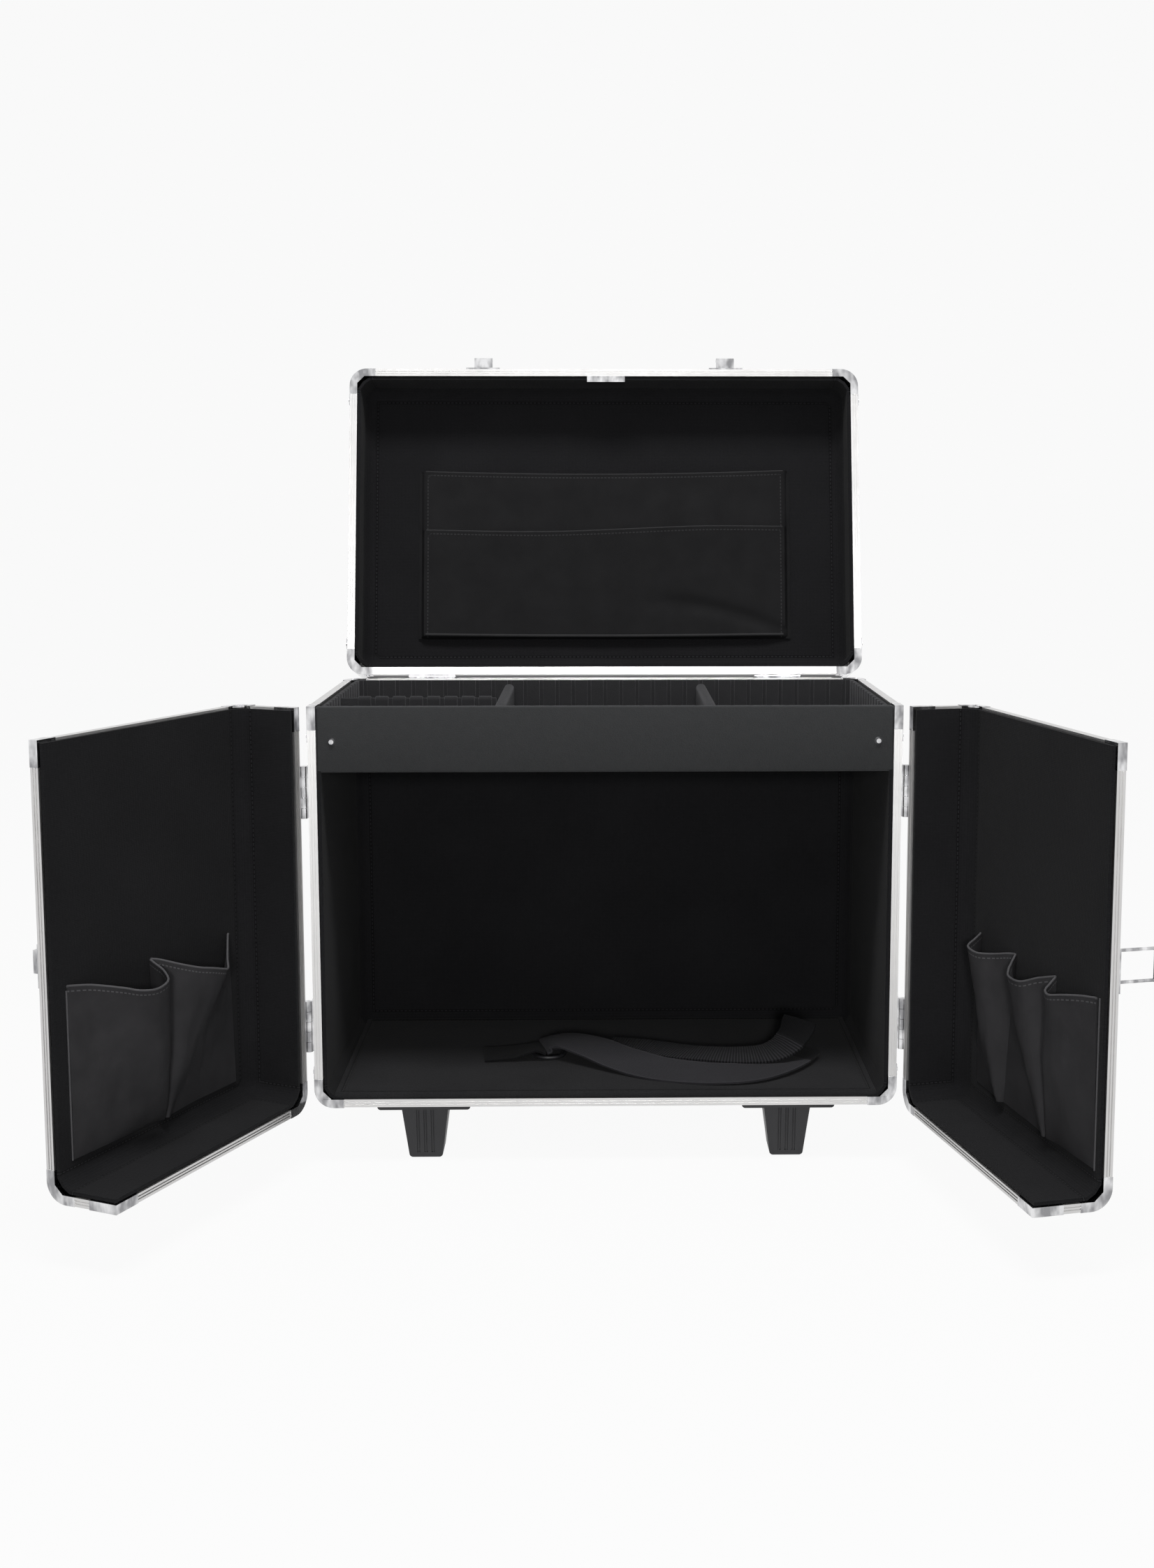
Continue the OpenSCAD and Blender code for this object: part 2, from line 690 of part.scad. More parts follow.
// Outline of a foot from the front: the flange, and the leg that narrows downwards
module foot_outline() {
    side = [cos(foot_lean), -sin(foot_lean)];
    low = [leg_bottom / 2 - foot_run(leg_r), leg_r];
    high = [leg_top / 2 + foot_run(leg_fillet), leg_h - leg_fillet];
    soft_rect(-flange[0] / 2, flange[0] / 2, leg_h, foot_h, flange_r, [1, 1, 0, 0]);
    difference() {
        leg_outline();
        for (m = [0, 1]) mirror([m, 0]) difference() {
            polygon([low, [low[0], -1], [leg_bottom / 2 + 1, -1], low + (leg_r + 1) * side]);
            translate(low) circle(leg_r + leg_overlap);
        }
    }
    for (m = [0, 1]) mirror([m, 0]) difference() {
        polygon([high, high - (leg_fillet + 1) * side, [leg_top / 2 - 1, leg_h + 1],
            [high[0], leg_h + 1]]);
        translate(high) circle(leg_fillet + leg_overlap);
    }
}

// One foot, its middle on x = 0 and its front towards -Y.
module foot() {
    difference() {
        intersection() {
            prism_xz(-flange[1] / 2, flange[1] / 2) foot_outline();
            union() {
                prism_yz(-flange[0] / 2, flange[0] / 2) leg_outline();
                box([-flange[0] / 2, -flange[1] / 2, leg_h], [flange[0] / 2, flange[1] / 2, foot_h]);
            }
        }
        for (x = [-foot_groove_pitch, 0, foot_groove_pitch])
            for (d = [-foot_groove_half, foot_groove_half])
                translate([x + d, -leg_bottom / 2, foot_groove_low]) rotate([foot_lean, 0, 0])
                    box([-foot_groove_w / 2, -1, 0],
                        [foot_groove_w / 2, foot_groove_deep, leg_h - foot_groove_low]);
    }
}

module front_feet() {
    color([0.07, 0.07, 0.075]) both_sides()
        translate([-foot_x, foot_y[0], 0]) foot();
}

module rear_feet() {
    color([0.07, 0.07, 0.075]) both_sides()
        translate([-foot_x, foot_y[1], 0]) mirror([0, 1, 0]) foot();
}

module foot_screws() {
    color([0.8, 0.8, 0.82]) both_sides()
        for (y = foot_y)
            for (side = [-1, 1])
                translate([-foot_x + side * foot_screw_x, y, foot_h - flange[2] - foot_screw_h])
                    cylinder(r1 = 2, r2 = 3, h = foot_screw_h);
}

module body_door_leaves() {
    color([0.85, 0.86, 0.88]) both_sides()
        for (z = door_hinge_z) door_leaf(z, true);
}

module body_lid_leaves() {
    color([0.85, 0.86, 0.88])
        for (x = lid_hinge_x) lid_leaf(x, true);
}

// Outline of a band of width w along the points p
function across(p, i) =
    let (run = p[min(i + 1, len(p) - 1)] - p[max(i - 1, 0)]) [-run[1], run[0]] / norm(run);
function band(p, w) = concat(
    [for (i = [0 : len(p) - 1]) p[i] + across(p, i) * w / 2],
    [for (i = [len(p) - 1 : -1 : 0]) p[i] - across(p, i) * w / 2]);

// Webbing lying on the floor: the sewn tab, the loose end that bows to the
// front, and its return, which lies on it and runs to the back.
module floor_strap() {
    ring_out = strap_ring_r + strap_wire_r;
    start = [strap_ring_at[0] + ring_out + 2 * seam, strap_ring_at[1]];
    color([0.05, 0.05, 0.055]) translate([0, 0, lined_floor]) {
        linear_extrude(height = strap_t) {
            translate([strap_ring_at[0] - ring_out - 2 * seam - strap_tab_l, start[1] - strap_w / 2])
                square([strap_tab_l, strap_w]);
            polygon(band(concat([start], strap_bow), strap_w));
        }
        translate([0, 0, strap_t]) linear_extrude(height = strap_t)
            polygon(band(strap_return, strap_w));
    }
}

module strap_ring() {
    color([0.05, 0.05, 0.055])
        translate([strap_ring_at[0], strap_ring_at[1], lined_floor + strap_wire_r])
            rotate_extrude() translate([strap_ring_r, 0]) circle(strap_wire_r);
}

// ---------------------------------------------------------------- latches

module latch_base() {
    box([-latch_half, -latch_l, 0], [latch_half, 0, plate_t]);
    for (side = [-1, 1]) {
        prism_yz(side * (cheek_in + cheek_t / 2) - cheek_t / 2,
                 side * (cheek_in + cheek_t / 2) + cheek_t / 2) {
            translate(latch_pin) circle(3);
            translate([latch_pin[0] - 3, plate_t]) square([6, latch_pin[1] - plate_t]);
        }
        for (y = [-4, -latch_l + 4])
            translate([side * (latch_half - 3), y, plate_t])
                cylinder(r = stud_r, h = stud_h);
    }
    translate([0, latch_pin[0], latch_pin[1]])
        rod_x(latch_pin_r, -bail_half - 1.6, bail_half + 1.6);
}

module latch_lever() {
    low = plate_t + 0.7;
    difference() {
        prism_yz(-lever_half, lever_half) {
            translate(latch_pin) circle(2.9);
            translate([latch_pin[0] - lever_l, low]) square([lever_l, latch_pin[1]]);
            difference() {
                translate([latch_pin[0] - lever_l + 6, latch_pin[1] - 0.5]) circle(grip_r);
                translate([latch_pin[0] - 60, low - 60]) square([100, 60]);
            }
        }
        translate([0, latch_pin[0], latch_pin[1]])
            rod_x(latch_pin_r + pin_fit, -lever_half - 1, lever_half + 1);
    }
}

// The bail turned by angle a from lying flat towards the keeper.
module latch_bail(a) {
    translate([0, latch_pin[0], latch_pin[1]]) rotate([a, 0, 0]) {
        difference() {
            for (side = [-1, 1])
                translate([side * bail_half, 0, 0]) {
                    rod_x(bail_eye_r, -bail_r, bail_r);
                    rotate([-90, 0, 0]) cylinder(r = bail_r, h = bail_reach);
                }
            rod_x(latch_pin_r + pin_fit, -bail_half - 3, bail_half + 3);
        }
        translate([0, bail_reach, 0]) rod_x(bail_r, -bail_half - bail_r, bail_half + bail_r);
    }
}

// The keeper stands past the gap and is open on its far side.
module latch_keeper() {
    low = 2 * seam + latch_edge + 0.9;
    box([-latch_half, low, 0], [latch_half, low + keeper_l, plate_t]);
    box([-hook_half, hook_y, plate_t], [hook_half, hook_y + hook_t, hook_h]);
    box([-hook_half, hook_y + hook_t, hook_h - hook_t],
        [hook_half, hook_y + hook_t + hook_lip, hook_h]);
}

// Places a latch at the top of a closed left door.
module at_top_latch() {
    translate([-latch_x, door_front, z1 - latch_edge]) rotate([90, 0, 0]) children();
}

// Places the latch of the middle on a closed door drawn as the left one.
module at_middle_latch() {
    translate([-seam - latch_edge, door_front, latch_z])
        rotate([90, 0, 0]) rotate([0, 0, -90]) children();
}

// ---------------------------------------------------------------- doors

module door_panel_set() {
    box([-half_w + panel_inset, door_front + edge_r, z0 + edge_r],
        [-in_w, door_back - rim_d, z1 - rim_d]);
    box([-half_w + edge_r, door_front + panel_inset, z0 + edge_r],
        [-seam - rim_d, door_front + rail_w, z1 - rim_d]);
    box([-half_w + edge_r, door_front + edge_r, z0 + panel_inset],
        [-seam - rim_d, door_back - rim_d, in_floor]);
}

module door_rail_set() {
    difference() {
        door_frame(0);
        door_corners();
        door_grooves();
    }
}

module door_cap_set() {
    intersection() {
        door_frame(cap_proud);
        door_corners();
    }
    door_tongues() tongue();
}

module door_lining_set() {
    front = door_front + rail_w;
    free = -seam - lining_edge;
    rear = door_back - lining_edge;
    difference() {
        union() {
            box([-in_w, front, in_floor + chamfer], [-lined_w, rear, z1 - lining_edge]);
            box([-lined_w, front, in_floor + chamfer], [free, front + lining_t, z1 - lining_edge]);
            box([-in_w + chamfer, front + chamfer, in_floor], [free, rear, in_floor + lining_t]);
        }
        box([-half_w, door_front, z1 - rim_d - seam], [-in_w + chamfer, front + chamfer, z1]);
    }
}

module door_pocket_body() {
    back = door_front + rail_w + lining_t;
    prism_yz(door_pocket_x[0], door_pocket_x[1])
        polygon([[back, door_pocket_z[0]], [back + pocket_thin, door_pocket_z[0]],
            [back + pocket_deep, door_pocket_z[1]], [back, door_pocket_z[1]]]);
}

module left_door_panels() {
    color([0.06, 0.06, 0.07]) left_door_pose() door_panel_set();
}

module left_door_rails() {
    color([0.75, 0.76, 0.78]) left_door_pose() door_rail_set();
}

module left_door_caps() {
    color([0.85, 0.86, 0.88]) left_door_pose() door_cap_set();
}

module left_door_rivets() {
    color([0.9, 0.9, 0.92]) left_door_pose() door_tongues() tongue_rivet();
}

module left_door_lining() {
    color([0.09, 0.09, 0.1]) left_door_pose() door_lining_set();
}

module left_door_pocket() {
    color([0.05, 0.05, 0.05]) left_door_pose() door_pocket_body();
}

module left_door_leaves() {
    color([0.85, 0.86, 0.88]) left_door_pose()
        for (z = door_hinge_z) door_leaf(z, false);
}

module left_door_keeper() {
    color([0.85, 0.86, 0.88]) left_door_pose()
        translate([seam + latch_edge, door_front, latch_z])
            rotate([90, 0, 0]) rotate([0, 0, 90]) latch_keeper();
}

module left_latch_base() {
    color([0.85, 0.86, 0.88]) left_door_pose() at_top_latch() latch_base();
}

module left_latch_lever() {
    color([0.85, 0.86, 0.88]) left_door_pose() at_top_latch() latch_lever();
}

module left_latch_bail() {
    color([0.85, 0.86, 0.88]) left_door_pose() at_top_latch() latch_bail(180);
}

module right_door_panels() {
    color([0.06, 0.06, 0.07]) right_door_pose() door_panel_set();
}

module right_door_rails() {
    color([0.75, 0.76, 0.78]) right_door_pose() door_rail_set();
}

module right_door_caps() {
    color([0.85, 0.86, 0.88]) right_door_pose() door_cap_set();
}

module right_door_rivets() {
    color([0.9, 0.9, 0.92]) right_door_pose() door_tongues() tongue_rivet();
}

module right_door_lining() {
    color([0.09, 0.09, 0.1]) right_door_pose() door_lining_set();
}

module right_door_pocket() {
    color([0.05, 0.05, 0.05]) right_door_pose() door_pocket_body();
}

module right_door_leaves() {
    color([0.85, 0.86, 0.88]) right_door_pose()
        for (z = door_hinge_z) door_leaf(z, false);
}

module right_latch_base() {
    color([0.85, 0.86, 0.88]) right_door_pose() at_top_latch() latch_base();
}

module right_latch_lever() {
    color([0.85, 0.86, 0.88]) right_door_pose() at_top_latch() latch_lever();
}

module right_latch_bail() {
    color([0.85, 0.86, 0.88]) right_door_pose() at_top_latch() latch_bail(180);
}

module middle_latch_base() {
    color([0.85, 0.86, 0.88]) right_door_pose() at_middle_latch() latch_base();
}

module middle_latch_lever() {
    color([0.85, 0.86, 0.88]) right_door_pose() at_middle_latch() latch_lever();
}

// The middle bail stands straight out from the door.
module middle_latch_bail() {
    color([0.85, 0.86, 0.88]) right_door_pose() at_middle_latch() latch_bail(90);
}

// ---------------------------------------------------------------- lid

module lid_panels() {
    panel_top = lid_z1 - panel_inset;
    color([0.06, 0.06, 0.07]) lid_pose() {
        both_sides()
            box([-half_w + panel_inset, door_front + edge_r, lid_z0 + rim_d],
                [-in_w, body_d - edge_r, lid_z1 - edge_r]);
        box([-half_w + edge_r, door_front + panel_inset, lid_z0 + rim_d],
            [half_w - edge_r, door_front + rail_w, lid_z1 - edge_r]);
        box([-half_w + edge_r, in_back, lid_z0 + rim_d],
            [half_w - edge_r, body_d - panel_inset, lid_z1 - edge_r]);
        box([-half_w + edge_r, door_front + edge_r, lid_z1 - rail_w],
            [half_w - edge_r, body_d - edge_r, panel_top]);
    }
}

module lid_rails() {
    color([0.75, 0.76, 0.78]) lid_pose() difference() {
        lid_frame(0);
        lid_corners();
        lid_grooves();
    }
}

module lid_corner_caps() {
    color([0.85, 0.86, 0.88]) lid_pose() {
        intersection() {
            lid_frame(cap_proud);
            lid_corners();
        }
        lid_tongues() tongue();
    }
}

module lid_rivets() {
    color([0.9, 0.9, 0.92]) lid_pose() lid_tongues() tongue_rivet();
}

module lid_lining() {
    top = lid_z1 - rail_w;
    low = lid_z0 + lining_edge;
    front = door_front + rail_w;
    color([0.09, 0.09, 0.1]) lid_pose() difference() {
        union() {
            box([-in_w, front, top - lining_t], [in_w, in_back, top]);
            both_sides() box([-in_w, front, low], [-lined_w, in_back, top - lining_t]);
            box([-lined_w, front, low], [lined_w, front + lining_t, top - lining_t]);
            box([-lined_w, lined_back, low], [lined_w, in_back, top - lining_t]);
        }
        both_sides()
            for (y = [front, in_back])
                box([-half_w, y - chamfer, lid_z0], [-in_w + chamfer, y + chamfer, lid_z0 + rim_d + seam]);
    }
}

module lid_back_pocket() {
    top = lid_z1 - rail_w - lining_t;
    color([0.05, 0.05, 0.05]) lid_pose()
        box([-lid_pocket_half, lid_pocket_y[0], top - lid_pocket_t],
            [lid_pocket_half, lid_pocket_y[1], top]);
}

module lid_front_pocket() {
    top = lid_z1 - rail_w - lining_t - lid_pocket_t;
    color([0.05, 0.05, 0.05]) lid_pose()
        box([-lid_pocket_half, lid_front_pocket_y[0], top - lid_pocket_t],
            [lid_pocket_half, lid_front_pocket_y[1], top]);
}

module lid_leaves() {
    color([0.85, 0.86, 0.88]) lid_pose()
        for (x = lid_hinge_x) lid_leaf(x, false);
}

module lid_keepers() {
    color([0.85, 0.86, 0.88]) lid_pose() both_sides() at_top_latch() latch_keeper();
}

module lid_tab() {
    front = door_front + rail_w;
    color([0.85, 0.86, 0.88]) lid_pose()
        box([tab_x - tab_half, front, lid_z0], [tab_x + tab_half, front + tab_d, lid_z0 + tab_t]);
}

module handle_brackets() {
    base = lid_z1 - panel_inset;
    color([0.07, 0.07, 0.075]) lid_pose() both_sides() {
        box([-handle_half - bracket_t, handle_y - bracket_d / 2, base],
            [-handle_half, handle_y + bracket_d / 2, base + bracket_t]);
        prism_yz(-handle_half - bracket_t, -handle_half) {
            translate([handle_y, handle_axis_z]) circle(handle_eye_r);
            translate([handle_y - handle_eye_r, base])
                square([2 * handle_eye_r, handle_axis_z - base]);
        }
        translate([0, handle_y, handle_axis_z])
            rod_x(handle_pin_r, -handle_half, -handle_half + handle_eye_w);
    }
}

module carry_handle() {
    far = handle_half - knuckle_gap;
    color([0.07, 0.07, 0.075]) lid_pose()
        translate([0, handle_y, handle_axis_z]) rotate([handle_hang, 0, 0]) {
            difference() {
                both_sides() {
                    rod_x(handle_eye_r, -far, -far + handle_eye_w);
                    box([-far, 0, -handle_r], [-far + handle_eye_w, handle_reach, handle_r]);
                }
                rod_x(handle_pin_r + pin_fit, -handle_half - 1, -far + handle_eye_w + 1);
                mirror([1, 0, 0])
                    rod_x(handle_pin_r + pin_fit, -handle_half - 1, -far + handle_eye_w + 1);
            }
            translate([0, handle_reach, 0]) rod_x(handle_r, -far, far);
        }
}

body_panels();
body_rails();
body_corner_caps();
body_rivets();
back_lining();
side_linings();
floor_lining();
tray_front_panel();
tray_floor();
tray_slot_liners();
long_divider();
cross_dividers();
tray_screws();
front_feet();
rear_feet();
foot_screws();
body_door_leaves();
body_lid_leaves();
floor_strap();
strap_ring();
left_door_panels();
left_door_rails();
left_door_caps();
left_door_rivets();
left_door_lining();
left_door_pocket();
left_door_leaves();
left_door_keeper();
left_latch_base();
left_latch_lever();
left_latch_bail();
right_door_panels();
right_door_rails();
right_door_caps();
right_door_rivets();
right_door_lining();
right_door_pocket();
right_door_leaves();
right_latch_base();
right_latch_lever();
right_latch_bail();
middle_latch_base();
middle_latch_lever();
middle_latch_bail();
lid_panels();
lid_rails();
lid_corner_caps();
lid_rivets();
lid_lining();
lid_front_pocket();
lid_back_pocket();
lid_leaves();
lid_keepers();
lid_tab();
handle_brackets();
carry_handle();
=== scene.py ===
# %% [markdown]
# # A makeup train case, standing open
# The case is a box of thin boards held by aluminium rails. Its lid and its two
# L-shaped doors stand open, so the cloth inside is what the eye sees most.
# The CAD model gives the boards, rails, hinges and latches. This lesson adds
# the camera, the light, the finishes and the soft pieces: linings, pockets,
# tray felt and the floor strap.

# %% Load the fixed frame
import math
import bpy
import bmesh
import json
from mathutils import Matrix, Vector, noise


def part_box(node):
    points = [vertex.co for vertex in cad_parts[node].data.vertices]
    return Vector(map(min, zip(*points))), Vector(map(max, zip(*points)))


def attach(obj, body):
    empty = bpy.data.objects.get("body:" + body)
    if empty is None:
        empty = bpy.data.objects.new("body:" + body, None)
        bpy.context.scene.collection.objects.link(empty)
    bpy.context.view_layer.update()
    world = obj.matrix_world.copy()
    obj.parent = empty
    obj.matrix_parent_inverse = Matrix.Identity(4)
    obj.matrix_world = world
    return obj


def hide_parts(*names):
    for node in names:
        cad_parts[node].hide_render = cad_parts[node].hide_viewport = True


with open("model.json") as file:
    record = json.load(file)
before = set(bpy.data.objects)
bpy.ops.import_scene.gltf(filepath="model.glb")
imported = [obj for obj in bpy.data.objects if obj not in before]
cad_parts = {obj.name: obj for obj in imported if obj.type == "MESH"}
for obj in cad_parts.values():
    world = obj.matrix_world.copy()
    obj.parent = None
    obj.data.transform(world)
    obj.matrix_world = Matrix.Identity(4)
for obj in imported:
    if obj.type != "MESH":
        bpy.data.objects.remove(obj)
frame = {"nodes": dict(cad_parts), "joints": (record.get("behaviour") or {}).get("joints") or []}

MM = 0.001
MERGE = 0.00002                 # points closer than this are one
SMOOTH = math.radians(50)       # edges flatter than this are shaded smooth
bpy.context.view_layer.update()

# %% [markdown]
# ## The camera first
# The eye is at the height of the open lid and looks slightly down. The lens
# is shifted a little, as when a print is cropped out of a larger picture.

# %% Camera
IMAGE_W, IMAGE_H = 1652, 2245
FOCAL_PX = 2581.7
AXIS_PX = (906.3, 1028.2)       # where the lens axis meets the picture
SENSOR_MM = 36
EYE = (-0.0025, -1.2915, 0.4931)
EYE_TURN = (83.0, 0, -0.99)     # degrees: seven down from level, one to the right


def make_camera():
    data = bpy.data.cameras.new("camera")
    data.sensor_fit = "VERTICAL"
    data.sensor_height = SENSOR_MM
    data.lens = FOCAL_PX * SENSOR_MM / IMAGE_H
    data.shift_x = (IMAGE_W / 2 - AXIS_PX[0]) / IMAGE_H
    data.shift_y = (AXIS_PX[1] - IMAGE_H / 2) / IMAGE_H
    data.clip_start = 0.05
    eye = bpy.data.objects.new("camera", data)
    eye.location = EYE
    eye.rotation_euler = [math.radians(angle) for angle in EYE_TURN]
    bpy.context.scene.collection.objects.link(eye)
    bpy.context.scene.camera = eye
    return eye


camera = make_camera()
bpy.context.scene.view_settings.view_transform = "Standard"
print("lens", round(camera.data.lens, 2), "mm")

# %% [markdown]
# ## Floor and light
# A wide pale floor and four lamps stand for a small studio. The floor and the
# sky turn white only for rays that come straight from the camera or that bounce
# off metal, so nothing on the case is lit any brighter.
#
# Two kinds of helper come first. Those for selecting are needed because an
# operator acts on what is selected, so every step starts by clearing the
# selection or by picking one object.

# %% Select helpers


def deselect():
    """Start each step with nothing selected: the CAD pieces come in selected."""
    if bpy.context.object and bpy.context.object.mode != "OBJECT":
        bpy.ops.object.mode_set(mode="OBJECT")
    bpy.ops.object.select_all(action="DESELECT")


def pick(obj):
    deselect()
    obj.select_set(True)
    bpy.context.view_layer.objects.active = obj
    return obj


def named(name):
    """Name the object that an operator has just made."""
    obj = bpy.context.object
    obj.name = name
    obj.data.name = name
    return obj


print("select helpers ready")

# %% [markdown]
# A finish is a small sum: noise, waves and the marks of a piece are added and
# multiplied until they give a colour, a roughness or a height. The class Value
# lets such a sum be written as plain arithmetic.

# %% Shader maths


class Value:
    """One socket of a shader, which can be added, multiplied and so on."""

    def __init__(self, owner, socket):
        self.owner = owner
        self.socket = socket

    def beside(self, out):
        """Another output of the same node."""
        return Value(self.owner, self.socket.node.outputs[out])

    def maths(self, kind, other=None, swap=False):
        pair = [self, other] if not swap else [other, self]
        inputs = {i: v for i, v in enumerate(pair) if v is not None}
        return self.owner.node("Math", {"operation": kind}, inputs)

    def __add__(self, other):
        return self.maths("ADD", other)

    def __sub__(self, other):
        return self.maths("SUBTRACT", other)

    def __rsub__(self, other):
        return self.maths("SUBTRACT", other, swap=True)

    def __mul__(self, other):
        return self.maths("MULTIPLY", other)

    __radd__ = __add__
    __rmul__ = __mul__

    def wave(self):
        return self.maths("SINE")

    def over(self, edge):
        return self.maths("GREATER_THAN", edge)

    def under(self, edge):
        return self.maths("LESS_THAN", edge)

    def size(self):
        return self.maths("ABSOLUTE")

    def most(self, other):
        return self.maths("MAXIMUM", other)


class Nodes:
    """The nodes of a material or of the sky."""

    def __init__(self, tree):
        self.tree = tree

    def feed(self, socket, value):
        """Link a value to a socket, or write a number or a colour on it."""
        if isinstance(value, Value):
            self.tree.links.new(value.socket, socket)
        else:
            socket.default_value = value

    def node(self, kind, settings=None, inputs=None, out=0):
        """Add a node, set it and feed its sockets. Gives one of its outputs."""
        made = self.tree.nodes.new("ShaderNode" + kind)
        for key, value in (settings or {}).items():
            setattr(made, key, value)
        for key, value in (inputs or {}).items():
            self.feed(made.inputs[key], value)
        return Value(self, made.outputs[out])

    def seen_directly(self):
        """1 for rays from the camera, from gloss and through glass, and 0 for others."""
        camera_ray = self.node("LightPath", out="Is Camera Ray")
        glossy = camera_ray.beside("Is Glossy Ray")
        return camera_ray.most(glossy).most(camera_ray.beside("Is Transmission Ray"))

    def end_in(self, output, surface):
        """Link the finished shader to the node that Blender reads."""
        self.feed(self.tree.nodes[output].inputs[0], surface)


class Finish(Nodes):
    """A material under construction."""

    def __init__(self, name, colour, roughness, metallic=0.0, **constants):
        self.material = bpy.data.materials.new(name)
        self.material.use_nodes = True
        super().__init__(self.material.node_tree)
        self.shader = self.tree.nodes["Principled BSDF"]
        self.set("Base Color", (*colour, 1))
        self.set("Roughness", roughness)
        self.set("Metallic", metallic)
        for socket, value in constants.items():
            self.set(socket.replace("_", " "), value)

    def set(self, socket, value):
        self.feed(self.shader.inputs[socket], value)

    def place(self, stretch=(1, 1, 1)):
        spot = self.node("TexCoord", out="Object")
        return self.node("Mapping", inputs={"Vector": spot, "Scale": stretch})

    def flat_place(self):
        return self.node("UVMap")

    def grain(self, size, detail=3, where=None, rough=0.5):
        where = where or self.place()
        return self.node("TexNoise", inputs={"Vector": where, "Scale": 1 / size,
                                             "Detail": detail, "Roughness": rough})

    def between(self, mask, low, high):
        """Two colours mixed by a mask: 6, 7 and 2 are the mix's colour sockets."""
        return self.node("Mix", {"data_type": "RGBA"},
                         {0: mask, 6: (*low, 1), 7: (*high, 1)}, out=2)

    def bumps(self, height, depth, strength=1.0):
        self.set("Normal", self.node("Bump", inputs={
            "Height": height, "Distance": depth, "Strength": strength}))


print("shader helpers ready")

# %% [markdown]
# The backdrop is one sheet that lies on the ground and curves up far behind the
# case. The camera sees it almost wholly as an even white, with a faint share of
# its own lit surface, and so of the shadow that the case throws on it.

# %% Backdrop
WHITE = (1, 1, 1, 1)
GLOW_SHARE = 0.94               # how much of the floor the camera sees as even white


def white_paper():
    """Pale paper that looks white to the camera and keeps a faint shadow."""
    paper = Finish("white_paper", (0.5, 0.5, 0.5), 0.9)
    lit = Value(paper, paper.shader.outputs[0])
    glow = paper.node("Emission", inputs={"Color": WHITE, "Strength": 1.0})
    share = paper.seen_directly() * GLOW_SHARE
    paper.end_in("Material Output", paper.node("MixShader", inputs={0: share, 1: lit, 2: glow}))
    return paper.material


def make_backdrop():
    deselect()
    bpy.ops.mesh.primitive_plane_add(size=1, location=(0, 0, -0.0005))
    sheet = named("backdrop")
    sheet.scale = (9, 7, 1)
    bpy.ops.object.transform_apply(location=True, scale=True)
    bpy.ops.object.mode_set(mode="EDIT")
    bpy.ops.mesh.select_mode(type="EDGE")
    bpy.ops.mesh.select_all(action="DESELECT")
    mesh = bmesh.from_edit_mesh(sheet.data)
    for edge in mesh.edges:
        edge.select = all(v.co.y > 3 for v in edge.verts)
    bmesh.update_edit_mesh(sheet.data)
    bpy.ops.mesh.extrude_edges_move(TRANSFORM_OT_translate={"value": (0, 0.8, 0.5)})
    bpy.ops.mesh.extrude_edges_move(TRANSFORM_OT_translate={"value": (0, 0.3, 5)})
    bpy.ops.object.mode_set(mode="OBJECT")
    sheet.data.materials.append(white_paper())
    print(sheet.name, len(sheet.data.polygons), "faces")


make_backdrop()

# %% [markdown]
# The light comes from in front and from above, as it does when a case is shown
# on a table by a window. The lamp in front is small, so folds that face away
# from it go dark. Two weak lamps at the sides lift the doors' inner faces.

# %% Sky and lamps
SKY = 0.05                      # how bright the sky is for all but those rays


def make_sky():
    world = bpy.data.worlds.new("studio")
    bpy.context.scene.world = world
    world.use_nodes = True
    sky = Nodes(world.node_tree)
    plain = sky.tree.nodes["Background"]
    sky.feed(plain.inputs["Color"], WHITE)
    sky.feed(plain.inputs["Strength"], SKY)
    white = sky.node("Background", inputs={"Color": WHITE})
    sky.end_in("World Output", sky.node("MixShader", inputs={
        0: sky.seen_directly(), 1: Value(sky, plain.outputs[0]), 2: white}))


def make_lamp(name, place, aim, size, power):
    data = bpy.data.lights.new(name, "AREA")
    data.shape = "RECTANGLE"
    data.size, data.size_y = size
    data.energy = power
    lamp = bpy.data.objects.new(name, data)
    lamp.location = place
    lamp.rotation_euler = (Vector(aim) - Vector(place)).to_track_quat("-Z", "Y").to_euler()
    bpy.context.scene.collection.objects.link(lamp)


make_sky()
make_lamp("overhead", (0, -0.75, 2.5), (0, 0, 0.25), (1.2, 0.5), 50)
make_lamp("left", (-1.9, -0.9, 1.5), (0.2, 0, 0.25), (1.0, 1.2), 4)
make_lamp("right", (1.9, -0.9, 1.5), (-0.2, 0, 0.25), (1.0, 1.2), 4)
make_lamp("front", (0, -2.6, 0.75), (0, 0.1, 0.2), (0.25, 0.25), 29)
print("four lamps and a pale sky")

# %% [markdown]
# ## Hard finishes
# The rails are drawn aluminium: satin, nearly white, with fine lines along
# their length. Caps, hinges and latches are chrome, which shows the bright room
# in some places and the dark cloth in others. The outside boards have a
# pebbled plastic skin.

# %% Metal, boards and plastic


def satin_aluminium():
    metal = Finish("satin_aluminium", (0.62, 0.615, 0.61), 0.34, 1.0)
    streaks = metal.grain(0.004, 4, metal.place((1, 1, 0.08)))
    cross = metal.grain(0.004, 4, metal.place((0.08, 1, 1)))
    lines = streaks * 0.5 + cross * 0.5
    metal.set("Roughness", lines * 0.22 + 0.22)
    metal.set("Base Color", metal.between(metal.grain(0.03), (0.58, 0.575, 0.57),
                                          (0.66, 0.655, 0.65)))
    metal.bumps(lines, 0.00004)
    return metal.material


